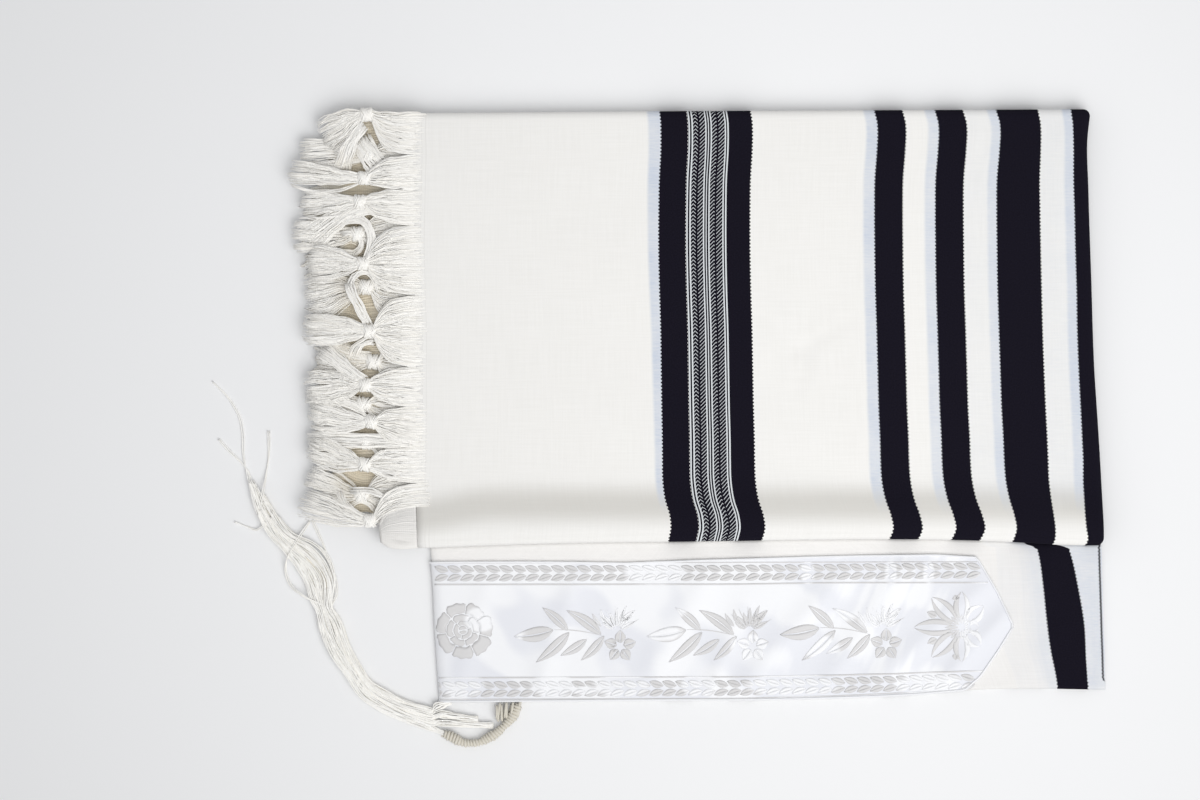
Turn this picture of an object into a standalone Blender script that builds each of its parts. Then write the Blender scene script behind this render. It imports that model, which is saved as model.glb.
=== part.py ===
"""A tallit prayer shawl, folded flat and lying on a table.

The cloth is folded twice along its length and then over across its width.  The
fringed outer quarters make the high block at the back.  The inner quarters lie
under them and stand out in front as a low flap, which carries the neck band.
+X runs along the cloth's length, +Y across it, and +Z is up.  The tables are in
millimetres, and the meshes are made in metres.
"""

from collections import namedtuple
from math import pi

import bmesh
import bpy
import numpy as np

MM = 0.001
OBJECT_NAME = "tallit_folded"

# Driving sizes
WALL = 1.2
SEAM_GAP = 0.3
BLOCK_HEIGHT = 19.0
FLAP_HEIGHT = 6.2
FLAP_FRONT_HEIGHT = 4.4
FOLD_REACH = 6.0
BLOCK_FOLD_RADIUS = 4.6
FLAP_FOLD_RADIUS = 2.4
ROLL_HEIGHT = 6.4
# Share of the roll's height across it, from the bottom fold to the level cloth
ROLL = [
    (-86, 0.66),
    (-80, 0.92),
    (-75, 1.00),
    (-69, 0.95),
    (-62, 0.74),
    (-52, 0.33),
    (-44, 0.11),
    (-36, 0.01),
    (-33, 0.00),
]

# Where the folds and edges run: x against y for the sides, y against x for the others
RIGHT_FOLD = [
    (-206, 336.0),
    (-150, 334.6),
    (-87, 332.8),
    (-39, 331.3),
    (0, 329.0),
    (44, 326.1),
    (111, 323.8),
    (179, 321.6),
    (216, 320.9),
    (238, 323.4),
]
FRINGE_EDGE = [(-90, -180.2), (-75, -180.9), (80, -182.6), (238, -184.7)]
MIDDLE_FOLD = [(-206, -163.7), (-150, -167.2), (-99, -170.4), (-88, -172.0), (238, -174.0)]
TOP_FOLD = [(-185, 236.4), (30, 238.0), (255, 239.0), (336, 239.4)]
BOTTOM_FOLD = [(-185, -89.6), (-82, -86.0), (8, -84.7), (255, -84.7), (300, -87.2), (336, -87.4)]
NECK_EDGE = [(-170, -206.0), (-20, -204.8), (106, -203.6), (188, -200.2), (230, -196.6), (336, -196.4)]

# The straight-sided plan that the pieces are worked out in, before the lines above bend it
Stack = namedtuple("Stack", "left right bottom top left_line right_line")
BLOCK = Stack(-182, 327, -86, 238, FRINGE_EDGE, RIGHT_FOLD)
FLAP = Stack(-168, 327, -202, 238, MIDDLE_FOLD, RIGHT_FOLD)

# Ends of the flat tops: left, right, bottom, top
BLOCK_FLAT = (-176, 321, -80, 232)
FLAP_FLAT = (-162, 321, -196, 232)

# Rows of the top panel, counted from the start of its flat top, close together over the roll
ROLL_ROWS = [0, 5, 11, 18, 27, 36, 47]
LEVEL_ROWS_FROM = 70
LEVEL_ROWS = 7
FLAP_ROWS = 6
COLUMNS = 14

# How far round a fold each row of the walls lies, in degrees
BLOCK_TURNS = [20, 45, 70, 95, 120, 140]
FLAP_TURNS = [25, 50, 75, 100]

# Side of the hidden layers under the flap panel: how far it stands out, share of the flap's height
FlapSide = namedtuple("FlapSide", "stands_out share")
FLAP_SIDE = [
    FlapSide(4.3, 0.30),
    FlapSide(5.5, 0.21),
    FlapSide(5.5, 0.07),
    FlapSide(3.6, 0.00),
]
# The same under the top panel, with shares of the height over the block's base
BlockSide = namedtuple("BlockSide", "stands_out share")
BLOCK_SIDE = [
    BlockSide(2.4, 0.43),
    BlockSide(5.2, 0.35),
    BlockSide(5.8, 0.27),
    BlockSide(5.3, 0.20),
    BlockSide(2.4, 0.00),
]
BLOCK_BASE = 4.2

# The neck band's lower and upper edge, along its length to the pointed end
BandRow = namedtuple("BandRow", "x low high")
BAND = [
    BandRow(-175, -202.0, -96.6),
    BandRow(-26, -202.0, -101.0),
    BandRow(28, -202.0, -99.4),
    BandRow(204, -202.0, -97.2),
    BandRow(222, -202.0, -98.0),
    BandRow(234, -192.0, -98.6),
    BandRow(248, -172.0, -125.0),
    BandRow(259, -154.0, -151.0),
]

# Fringe: part of the edge that a tassel gathers, its knot, and the middle and width of its end
Tassel = namedtuple("Tassel", "root_low root_high knot_x knot_y tip_x tip_y spread")
UPPER_TASSELS = [
    Tassel(206, 234, -219.0, 235.5, -252.0, 214.0, 30),
    Tassel(180, 204, -223.0, 187.0, -277.5, 194.0, 20),
    Tassel(155, 178, -224.5, 169.0, -268.5, 167.0, 20),
    Tassel(100, 142, -223.0, 124.0, -265.0, 117.5, 35),
    Tassel(46, 98, -217.5, 72.5, -268.0, 74.0, 38),
    Tassel(15, 44, -220.5, 28.5, -266.0, 24.0, 29),
    Tassel(-8, 13, -220.0, -4.0, -264.0, 0.5, 14),
    Tassel(-40, -10, -220.0, -28.0, -262.0, -25.0, 26),
    Tassel(-56, -42, -219.0, -67.0, -271.0, -53.0, 20),
]
LOWER_TASSELS = [
    Tassel(190, 216, -216.5, 205.0, -270.0, 207.0, 28),
    Tassel(134, 160, -229.0, 146.0, -276.0, 143.0, 28),
    Tassel(84, 110, -219.5, 99.0, -267.5, 106.0, 28),
    Tassel(36, 62, -215.0, 48.0, -257.0, 56.0, 28),
    Tassel(-6, 20, -217.0, 9.0, -262.0, 4.0, 28),
    Tassel(-56, -30, -222.0, -46.0, -266.0, -40.0, 24),
]
# The fringe that goes round the bottom fold: how far from the edge, its start, and how far its
# fold moves in and the whole of it sags
TurnRow = namedtuple("TurnRow", "from_edge start rise sag")
FRINGE_TURN = [
    TurnRow(0.3, -59.0, 0.0, 0.0),
    TurnRow(8.0, -61.0, 0.0, 1.0),
    TurnRow(16.0, -64.0, 0.4, 2.6),
    TurnRow(23.0, -68.0, 1.6, 4.4),
    TurnRow(28.0, -74.0, 4.4, 6.4),
]
# Loose yarns of the lowest layers fall from the strip to the table and lie there, under the
# tassels: how far from the edge, and how far down
FallRow = namedtuple("FallRow", "from_edge down")
LOOSE_YARN_FALL = [
    FallRow(9.0, 1.6),
    FallRow(19.0, 5.6),
    FallRow(29.0, 8.2),
    FallRow(37.0, 8.8),
]
# How far out their ends lie, against y
LOOSE_YARN_REACH = [(-57, 58), (-30, 68), (60, 72), (170, 76), (200, 70), (216, 52), (235, 40)]
STRIP_WIDTH = 3.2
STRIP_THICK = 1.4
UPPER_KNOT_Z = 16.6
UPPER_TIP_Z = 13.0
LOWER_STRIP_Z = 9.6
LOWER_KNOT_Z = 6.4
LOWER_TIP_Z = 5.5
STRIP_ROWS = 26
TASSEL_CELLS = 3
ROOT_THICK = 0.7
LENGTH_STEP = 0.06
LOCK_LIFT = 2.4

# Sections from the edge to just past the knot: share of the way, least width, share of the
# web's first width that is kept, thickness, roundness
Section = namedtuple("Section", "share width kept thick round")
WEB_AND_KNOT = [
    Section(0.50, 14.0, 0.86, 2.2, 0.3),
    Section(0.80, 8.0, 0.46, 3.8, 0.7),
    Section(0.93, 13.0, 0.0, 8.6, 0.9),
    Section(1.07, 13.0, 0.0, 8.8, 0.9),
    Section(1.16, 8.6, 0.0, 6.0, 0.6),
]
# Along a lock: share of the way, share of the spread, width, thickness
LockRow = namedtuple("LockRow", "share spread width thick")
FRINGE_LOCK = [
    LockRow(0.22, 0.40, 3.2, 1.6),
    LockRow(0.62, 0.84, 5.2, 1.5),
    LockRow(1.00, 1.00, 2.4, 0.9),
]
# Widest that a lock may be, as a share of the way to the next one beside it
LOCK_FILL = 0.9

# Corner tassels: eight strings each, drawn as four locks, all lying along one trunk
TrunkRow = namedtuple("TrunkRow", "x y pitch")
TRUNK = [
    TrunkRow(-172, -218.7, 3.0),
    TrunkRow(-188, -213.5, 2.9),
    TrunkRow(-205, -206.0, 2.85),
    TrunkRow(-220, -196.0, 2.8),
    TrunkRow(-230, -182.0, 2.75),
    TrunkRow(-240, -164.5, 2.8),
    TrunkRow(-247, -146.5, 2.8),
    TrunkRow(-252, -134.5, 2.75),
    TrunkRow(-254, -123.0, 2.8),
    TrunkRow(-256, -113.0, 2.95),
    TrunkRow(-262, -103.0, 3.0),
    TrunkRow(-270, -94.5, 2.9),
    TrunkRow(-280, -85.5, 2.8),
    TrunkRow(-288, -75.5, 2.75),
    TrunkRow(-295, -64.5, 2.7),
    TrunkRow(-300.5, -53.0, 2.6),
]
TRUNK_STEP = 15.0
LOCK_WIDTH = 2.5
LOCK_THICK = 2.7
LOWER_LOCK_Z = 2.0
UPPER_LOCK_Z = 5.4
# Loose ends, for the inner and the outer lock of each corner tassel
LooseEnd = namedtuple("LooseEnd", "leaves_at end_x end_y")
LOOSE_ENDS = [
    LooseEnd(0.74, -260.0, -69.0),
    LooseEnd(1.00, -294.0, -3.0),
    LooseEnd(1.00, -304.0, -14.0),
    LooseEnd(1.00, -335.5, 35.5),
    LooseEnd(1.00, -331.0, -8.5),
    LooseEnd(1.00, -318.0, -36.0),
    LooseEnd(0.94, -318.5, -58.0),
    LooseEnd(0.90, -318.0, -70.0),
]
# Heads of three corner tassels, at the neck edge: left and right end, and how far in front
Head = namedtuple("Head", "left right y")
SHORT_HEADS = [
    Head(-167, -152, -209.2),
    Head(-163, -140, -215.5),
    Head(-159, -126, -221.8),
]
HEAD_SIZE = 5.6
# Along a head: share of the way, share of the size
HEAD_SECTIONS = [(0.0, 0.7), (0.15, 1.0), (0.6, 1.0), (1.0, 0.95)]
# The wound cord of the fourth, from the neck edge to its last knot, and its radius there
WoundRow = namedtuple("WoundRow", "x y radius")
WOUND_CORD = [
    WoundRow(-106.0, -208.9, 3.0),
    WoundRow(-109.0, -215.0, 4.0),
    WoundRow(-116.0, -223.5, 3.0),
    WoundRow(-126.0, -231.5, 4.0),
    WoundRow(-136.0, -236.0, 3.0),
    WoundRow(-146.0, -236.5, 3.2),
    WoundRow(-155.0, -232.5, 4.2),
    WoundRow(-162.0, -229.2, 3.2),
]
WOUND_Z = 4.6
WOUND_SECTIONS = 19


def curve(table, at):
    """A smooth line through a table's rows: a cubic between two rows, level slopes kept at both."""
    place, value = np.array(table, float).T
    slope = np.gradient(value, place)
    at = np.clip(np.asarray(at, float), place[0], place[-1])
    row = np.clip(np.searchsorted(place, at, side="right") - 1, 0, len(place) - 2)
    step = place[row + 1] - place[row]
    t = (at - place[row]) / step
    start = (1 + 2 * t) * (1 - t) ** 2 * value[row] + t * (1 - t) ** 2 * step * slope[row]
    end = t**2 * (3 - 2 * t) * value[row + 1] - t**2 * (1 - t) * step * slope[row + 1]
    return start + end


def settle(x, y, stack):
    """Carry points of the straight-sided stack on to its uneven folds and edges."""
    across = (x - stack.left) / (stack.right - stack.left)
    left = curve(stack.left_line, y) - stack.left
    right = curve(stack.right_line, y) - stack.right
    neck = curve(NECK_EDGE, x) - FLAP.bottom
    fold = curve(BOTTOM_FOLD, x) - BLOCK.bottom
    top = curve(TOP_FOLD, x) - BLOCK.top
    up_flap = (y - FLAP.bottom) / (BLOCK.bottom - FLAP.bottom)
    up_block = (y - BLOCK.bottom) / (BLOCK.top - BLOCK.bottom)
    on_flap = neck + up_flap * (fold - neck)
    on_block = fold + up_block * (top - fold)
    return x + left + across * (right - left), y + np.where(y < BLOCK.bottom, on_flap, on_block)


def block_height(x, y):
    """Top of the block: level, with a soft roll along the bottom fold and two shallow troughs."""
    roll = curve(ROLL, y)
    along = 0.93 + 0.07 * np.cos((x - 90) / 120)
    trough = np.exp(-(((x - 0.55 * y - 70) / 16) ** 2) - ((y - 60) / 46) ** 2)
    lift = 0.5 * np.sin(x / 95) * np.cos(y / 80)
    return BLOCK_HEIGHT + ROLL_HEIGHT * roll * along - 0.5 * trough + lift


def flap_height(x, y):
    """Top of the flap: it sinks from the block towards the neck edge, with slight waves."""
    front = np.clip((BLOCK.bottom - y) / (BLOCK.bottom - FLAP.bottom), 0, 1)
    wave = 0.22 * np.sin(x / 48) * np.sin(pi * front)
    return FLAP_HEIGHT + (FLAP_FRONT_HEIGHT - FLAP_HEIGHT) * front + wave


def fold_profile(turns, radius, depth=0.0):
    """Section of a sheet round a fold, a row for each turn in degrees, the flat top first.

    The sheet lies depth inside the outermost cloth, whose section is an ellipse of
    FOLD_REACH and radius.  Height is share times the stack's height, less drop.
    """
    turn = np.radians([0] + turns)
    out = (FOLD_REACH - depth) * np.sin(turn)
    return out, np.ones_like(turn), depth + (radius - depth) * (1 - np.cos(turn))


def side_profile(fold, side, base):
    """A fold's section carried on down the stack's side, whose shares start from the base."""
    out, share, drop = fold
    side_share = np.array([row.share for row in side])
    return (
        np.concatenate([out, [row.stands_out for row in side]]),
        np.concatenate([share, side_share]),
        np.concatenate([drop, -(1 - side_share) * base]),
    )


def placed(stack, height, profile, u, step_u, v, step_v):
    """Points of a sheet on a stack: u and v are places on its flat top, and steps go round folds.

    Step 0 is the flat top, and step n the profile's row n, negative round the left
    or bottom fold.  Where two folds meet, the larger step counts, and the ratio of
    the two gives the heading round the corner, up to 45 degrees from each side.
    """
    u, step_u, v, step_v = np.broadcast_arrays(u, step_u, v, step_v)
    larger = np.maximum(abs(step_u), abs(step_v))
    turn = np.minimum(abs(step_u), abs(step_v)) / np.maximum(larger, 1) * pi / 4
    heading = np.where(abs(step_u) >= abs(step_v), turn, pi / 2 - turn)
    out, share, drop = (values[larger.astype(int)] for values in profile)
    x = u + np.sign(step_u) * np.cos(heading) * out
    y = v + np.sign(step_v) * np.sin(heading) * out
    return np.stack([*settle(x, y, stack), share * height(u, v) - drop], axis=-1)


def stack_points(stack, height, profile, columns, rows):
    """Points of a sheet whose columns and rows are each a list of (place, step)."""
    u, step_u = np.array(columns, float).T[:, None, :]
    v, step_v = np.array(rows, float).T[:, :, None]
    return placed(stack, height, profile, u, step_u, v, step_v)


def round_fold(place, count, side):
    """Columns or rows round a fold: side is -1 for the left or bottom one, 1 for the others."""
    found = [(place, side * step) for step in range(1, count + 1)]
    return found if side > 0 else found[::-1]


def all_round(ends, flat, count):
    """The flat columns or rows, with a fold at both ends."""
    return round_fold(ends[0], count, -1) + flat + round_fold(ends[1], count, 1)


def level(places):
    """Columns or rows on the flat top."""
    return [(place, 0) for place in places]


def new_material(name, colour, roughness):
    material = bpy.data.materials.new(name)
    material.use_nodes = True
    shader = material.node_tree.nodes["Principled BSDF"]
    shader.inputs["Base Color"].default_value = (*colour, 1)
    shader.inputs["Roughness"].default_value = roughness
    shader.inputs["Metallic"].default_value = 0
    return material


def new_object(name, bm, material, collection):
    """A mesh object from millimetre points, its faces turned outwards."""
    bmesh.ops.recalc_face_normals(bm, faces=bm.faces)
    bmesh.ops.scale(bm, vec=(MM, MM, MM), verts=bm.verts)
    mesh = bpy.data.meshes.new(name)
    bm.to_mesh(mesh)
    bm.free()
    mesh.shade_smooth()
    mesh.materials.append(material)
    made = bpy.data.objects.new(name, mesh)
    collection.objects.link(made)
    return made


def grid(points):
    """An open grid of faces through a table of points."""
    rows, columns, _ = points.shape
    bm = bmesh.new()
    bmesh.ops.create_grid(bm, x_segments=columns - 1, y_segments=rows - 1, size=1)
    for vert, place in zip(bm.verts, points.reshape(-1, 3)):
        vert.co = place
    return bm


def sheet(name, points, thickness, material, collection):
    """A wall: an open grid through the points, made solid downwards and inwards."""
    made = new_object(name, grid(points), material, collection)
    if sum(face.normal.z * face.area for face in made.data.polygons) < 0:
        made.data.flip_normals()
    solid = made.modifiers.new("Wall", "SOLIDIFY")
    solid.thickness = thickness * MM
    solid.offset = -1
    solid.use_even_offset = False
    return made


def closed_stack(name, points, material, collection):
    """A solid: a grid over the top and down all four sides, closed by a flat underside."""
    bm = grid(points)
    bmesh.ops.edgeloop_fill(bm, edges=[edge for edge in bm.edges if edge.is_boundary])
    return new_object(name, bm, material, collection)


def lattice(centre, across, width, thick, roundness, cells):
    """Points of a section, (cells + 1) each way: a square drawn towards a disc by its roundness."""
    step = np.linspace(-1, 1, cells + 1)
    side, up = np.meshgrid(step, step, indexing="ij")
    wide = side * np.sqrt(1 - roundness * up**2 / 2) * width / 2
    high = up * np.sqrt(1 - roundness * side**2 / 2) * thick / 2
    return centre + wide[..., None] * across + high[..., None] * np.array([0, 0, 1.0])


def rim(table):
    """The outer points of a square table, in order round it."""
    last = len(table) - 1
    order = [(k, 0) for k in range(last)] + [(last, k) for k in range(last)]
    order += [(last - k, last) for k in range(last)] + [(0, last - k) for k in range(last)]
    return [table[i][j] for i, j in order]


def grow(stem, locks):
    """A closed tassel: a stem through square sections, and a lock on each cell of the last one."""
    bm = bmesh.new()
    loops = [[bm.verts.new(place) for place in rim(section)] for section in stem[:-1]]
    last = [[bm.verts.new(place) for place in row] for row in stem[-1]]
    loops.append(rim(last))
    for lower, upper in zip(loops, loops[1:]):
        for k in range(len(lower)):
            bm.faces.new([lower[k - 1], lower[k], upper[k], upper[k - 1]])
    bm.faces.new(loops[0])
    for (i, j), rows in locks.items():
        lower = [last[i][j], last[i + 1][j], last[i + 1][j + 1], last[i][j + 1]]
        for corners in rows:
            upper = [bm.verts.new(place) for place in corners]
            for k in range(4):
                bm.faces.new([lower[k - 1], lower[k], upper[k], upper[k - 1]])
            lower = upper
        bm.faces.new(lower)
    return bm


def four_corners(centre, across, width, thick):
    """A lock's section, in the order of its cell's corners."""
    wide, high = across * width / 2, np.array([0, 0, thick / 2])
    return [centre - wide - high, centre + wide - high, centre + wide + high, centre - wide + high]


def sideways(way):
    """The level direction to the left of a way."""
    return np.array([-way[1], way[0], 0.0]) / np.hypot(way[0], way[1])


def fringe_tassel(row, edge_z, knot_z, tip_z):
    """One tassel: a web gathered from the strip, its knot, and nine locks that fan out."""
    middle = (row.root_low + row.root_high) / 2
    edge_x, _ = settle(np.array(BLOCK.left), np.array(middle), BLOCK)
    root = np.array([edge_x - SEAM_GAP - STRIP_WIDTH / 2, middle, edge_z(middle)])
    knot = np.array([row.knot_x, row.knot_y, knot_z])
    tip = np.array([row.tip_x, row.tip_y, tip_z])
    start_side = sideways(np.array([-1.0, 0, 0]))
    knot_side = sideways(tip - root)
    stem = [lattice(root, start_side, row.root_high - row.root_low, ROOT_THICK, 0, TASSEL_CELLS)]
    for point in stem[0].reshape(-1, 3):
        point[0] += settle(np.array(BLOCK.left), np.array(point[1]), BLOCK)[0] - edge_x
        point[2] += edge_z(point[1]) - root[2]
    for section in WEB_AND_KNOT:
        centre = root + (knot - root) * section.share
        side = start_side + (knot_side - start_side) * min(section.share, 1)
        width = max(section.width, section.kept * (row.root_high - row.root_low))
        stem.append(lattice(centre, side, width, section.thick, section.round, TASSEL_CELLS))
    neck = stem[-1].mean(axis=(0, 1))
    tip_side = sideways(tip - neck)
    half = (TASSEL_CELLS - 1) / 2
    apart = row.spread / (TASSEL_CELLS - 1 / TASSEL_CELLS)
    locks = {}
    for i in range(TASSEL_CELLS):
        for j in range(TASSEL_CELLS):
            rows = []
            length = 1 - LENGTH_STEP * ((2 * i + 5 * j) % 4)
            for step in FRINGE_LOCK:
                aside = (i - half + (j - half) / TASSEL_CELLS) * apart * step.spread
                centre = neck + (tip - neck) * step.share * length + tip_side * aside
                centre[2] += (j - half) * LOCK_LIFT
                width = min(step.width, LOCK_FILL * apart * step.spread)
                rows.append(four_corners(centre, tip_side, width, step.thick))
            locks[i, j] = rows
    return grow(stem, locks)


def join(solid, helper):
    """Unite a helper solid with a solid, and keep the helper out of the object."""
    helper.hide_render = True
    helper.display_type = "WIRE"
    union = solid.modifiers.new(helper.name, "BOOLEAN")
    union.operation = "UNION"
    union.object = helper


def fringe(name, tassels, edge_z, knot_z, tip_z, fall, material, collection, helpers):
    """A row of tassels joined to the strip that they are gathered from, and its loose yarns."""
    ends = [end for row in tassels for end in (row.root_low, row.root_high)]
    y = np.linspace(min(ends) - 1, max(ends) + 1, STRIP_ROWS)
    out, down = [SEAM_GAP, SEAM_GAP + STRIP_WIDTH], [0, 0]
    out = [np.full_like(y, place) for place in out + [row.from_edge for row in fall]]
    down += [row.down for row in fall]
    if fall:
        out.append(curve(LOOSE_YARN_REACH, y))
        down.append(fall[-1].down)
    grid_y, down = np.meshgrid(y, down, indexing="ij")
    x, _ = settle(np.full_like(grid_y, BLOCK.left), grid_y, BLOCK)
    z = edge_z(grid_y) + STRIP_THICK / 2 - down
    points = np.stack([x - np.stack(out, axis=1), grid_y, z], axis=-1)
    strip = sheet(name, points, STRIP_THICK, material, collection)
    for number, row in enumerate(tassels, 1):
        helper = new_object(
            f"{name}_tassel_{number}",
            fringe_tassel(row, edge_z, knot_z, tip_z),
            material,
            helpers,
        )
        join(strip, helper)
    return strip


def trunk_stations():
    """Even stations along the trunk: place, the level direction to its outer side, and pitch."""
    x, y, pitch = np.array(TRUNK).T
    along = np.concatenate([[0], np.cumsum(np.hypot(np.diff(x), np.diff(y)))])
    steps = np.linspace(0, along[-1], round(along[-1] / TRUNK_STEP) + 1)
    x, y, pitch = (curve(np.column_stack([along, values]), steps) for values in (x, y, pitch))
    way = np.stack([np.gradient(x), np.gradient(y)], axis=-1)
    way /= np.linalg.norm(way, axis=-1, keepdims=True)
    return np.stack([x, y], axis=-1), way, pitch


def string_lock(column, z):
    """Sections of one lock: its place in the trunk, and a smooth bend to its loose end."""
    places, way, pitch = trunk_stations()
    leaves = round(LOOSE_ENDS[column].leaves_at * (len(places) - 1)) + 1
    aside = (column - (len(LOOSE_ENDS) - 1) / 2) * pitch[:leaves, None]
    places, way = places[:leaves], way[:leaves]
    line = places + np.stack([-way[:, 1], way[:, 0]], axis=-1) * aside
    end = np.array([LOOSE_ENDS[column].end_x, LOOSE_ENDS[column].end_y])
    middle = line[-1] + way[-1] * np.linalg.norm(end - line[-1]) / 2
    t = np.linspace(0, 1, 5)[1:, None]
    bend = (1 - t) ** 2 * line[-1] + 2 * t * (1 - t) * middle + t**2 * end
    line = np.concatenate([line, bend])
    ways = np.concatenate([way, np.diff(np.concatenate([line[leaves - 1 : leaves], bend]), axis=0)])
    sizes = np.ones(len(line))
    sizes[-1] = 0.5
    return [
        four_corners(np.array([*place, z]), sideways(toward), LOCK_WIDTH * size, LOCK_THICK * size)
        for place, toward, size in zip(line, ways, sizes)
    ]


def corner_tassel(name, number, sections, material, collection):
    """A head through its sections, with two pairs of locks from its end."""
    locks = {}
    for i in range(2):
        for j in range(2):
            locks[i, j] = string_lock(2 * number + i, (LOWER_LOCK_Z, UPPER_LOCK_Z)[j])
    return new_object(name, grow(sections, locks), material, collection)


def short_head(head):
    """A plain knotted head at the neck edge, from right to left."""
    side = sideways((-1, 0))
    middle_z = (LOWER_LOCK_Z + UPPER_LOCK_Z) / 2
    return [
        lattice(
            np.array([head.right + (head.left - head.right) * share, head.y, middle_z]),
            side,
            HEAD_SIZE * size,
            HEAD_SIZE * size,
            0.4,
            2,
        )
        for share, size in HEAD_SECTIONS
    ]


def wound_head():
    """The wound cord: double sections through its rows, thicker at the knots."""
    x, y, radius = np.array(WOUND_CORD).T
    along = np.concatenate([[0], np.cumsum(np.hypot(np.diff(x), np.diff(y)))])
    steps = np.linspace(0, along[-1], WOUND_SECTIONS)
    x, y, radius = (curve(np.column_stack([along, values]), steps) for values in (x, y, radius))
    sections = []
    for px, py, size, dx, dy in zip(x, y, radius, np.gradient(x), np.gradient(y)):
        centre = np.array([px, py, WOUND_Z])
        sections.append(lattice(centre, sideways((dx, dy)), 2 * size, 2 * size, 0.9, 2))
    return sections


def main():
    for old in list(bpy.data.objects):
        bpy.data.objects.remove(old)
    parts = bpy.data.collections.new(OBJECT_NAME)
    helpers = bpy.data.collections.new("helpers")
    bpy.context.scene.collection.children.link(parts)
    bpy.context.scene.collection.children.link(helpers)
    wool = new_material("wool", (0.86, 0.85, 0.82), 0.9)
    layers = new_material("wool_layers", (0.82, 0.81, 0.78), 0.9)
    satin = new_material("satin", (0.92, 0.93, 0.95), 0.45)
    yarn = new_material("fringe_yarn", (0.84, 0.83, 0.78), 0.85)
    string = new_material("tassel_string", (0.83, 0.81, 0.74), 0.8)

    block_columns = level(np.linspace(*BLOCK_FLAT[:2], COLUMNS))
    block_rows = level(BLOCK_FLAT[2] + np.array(ROLL_ROWS))
    block_rows += level(np.linspace(BLOCK_FLAT[2] + LEVEL_ROWS_FROM, BLOCK_FLAT[3], LEVEL_ROWS))
    flap_columns = level(np.linspace(*FLAP_FLAT[:2], COLUMNS))
    flap_rows = level(np.linspace(FLAP_FLAT[2], BLOCK.bottom, FLAP_ROWS))

    depth = WALL + SEAM_GAP
    profile = side_profile(fold_profile(FLAP_TURNS, FLAP_FOLD_RADIUS, depth), FLAP_SIDE, 0)
    columns = all_round(FLAP_FLAT[:2], flap_columns, len(profile[0]) - 1)
    rows = all_round(FLAP_FLAT[2:], flap_rows + level([FLAP_FLAT[3]]), len(profile[0]) - 1)
    core = closed_stack(
        "folded_layers", stack_points(FLAP, flap_height, profile, columns, rows), layers, parts
    )
    profile = side_profile(
        fold_profile(BLOCK_TURNS, BLOCK_FOLD_RADIUS, depth), BLOCK_SIDE, BLOCK_BASE
    )
    columns = all_round(BLOCK_FLAT[:2], block_columns, len(profile[0]) - 1)
    rows = all_round(BLOCK_FLAT[2:], block_rows, len(profile[0]) - 1)
    upper = closed_stack(
        "upper_layers", stack_points(BLOCK, block_height, profile, columns, rows), layers, helpers
    )
    join(core, upper)

    steps = len(BLOCK_TURNS)
    columns = level([BLOCK.left]) + block_columns + round_fold(BLOCK_FLAT[1], steps, 1)
    rows = all_round(BLOCK_FLAT[2:], block_rows, steps)
    profile = fold_profile(BLOCK_TURNS, BLOCK_FOLD_RADIUS)
    sheet("top_panel", stack_points(BLOCK, block_height, profile, columns, rows), WALL, wool, parts)

    columns = all_round(FLAP_FLAT[:2], flap_columns, len(FLAP_TURNS))
    profile = fold_profile(FLAP_TURNS, FLAP_FOLD_RADIUS)
    rows = level([FLAP.bottom]) + flap_rows[:-1] + level([BLOCK.bottom - SEAM_GAP])
    sheet("flap_panel", stack_points(FLAP, flap_height, profile, columns, rows), WALL, wool, parts)

    band_x, band_low, band_high = np.array(BAND).T
    places = np.concatenate([np.linspace(FLAP_FLAT[0], band_x[-4], COLUMNS), band_x[-3:]])
    columns = round_fold(FLAP_FLAT[0], len(FLAP_TURNS), -1) + level(places)
    u, step_u = np.array(columns, float).T[:, None, :]
    low, high = np.interp(u, band_x, band_low), np.interp(u, band_x, band_high)
    v = low + (high - low) * np.linspace(0, 1, FLAP_ROWS)[:, None]
    profile = fold_profile(FLAP_TURNS, FLAP_FOLD_RADIUS, -SEAM_GAP - WALL)
    points = placed(FLAP, flap_height, profile, u, step_u, v, 0)
    sheet("atara", points, WALL, satin, parts)

    fringe(
        "fringe_upper",
        UPPER_TASSELS,
        lambda y: block_height(np.array(BLOCK.left), y) - WALL / 2,
        UPPER_KNOT_Z,
        UPPER_TIP_Z,
        [],
        yarn,
        parts,
        helpers,
    )
    fringe(
        "fringe_lower",
        LOWER_TASSELS,
        lambda y: LOWER_STRIP_Z + 0 * y,
        LOWER_KNOT_Z,
        LOWER_TIP_Z,
        LOOSE_YARN_FALL,
        yarn,
        parts,
        helpers,
    )
    from_edge, start, rise, sag = np.array(FRINGE_TURN).T
    rows = round_fold(BLOCK_FLAT[2], len(BLOCK_TURNS), -1) + level([0, 0.5, 1])
    share, step = np.array(rows, float).T[:, :, None]
    fold = BLOCK_FLAT[2] + rise
    v = np.where(step < 0, fold, fold + share * (start - fold))
    profile = fold_profile(BLOCK_TURNS, BLOCK_FOLD_RADIUS)
    points = placed(BLOCK, block_height, profile, BLOCK.left - from_edge, 0, v, step)
    points[..., 2] -= sag
    sheet("fringe_turn", points, WALL, yarn, parts)
    for number, head in enumerate(SHORT_HEADS):
        corner_tassel(f"tzitzit_{number + 1}", number, short_head(head), string, parts)
    last = len(SHORT_HEADS)
    corner_tassel(f"tzitzit_{last + 1}", last, wound_head(), string, parts)


main()
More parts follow.
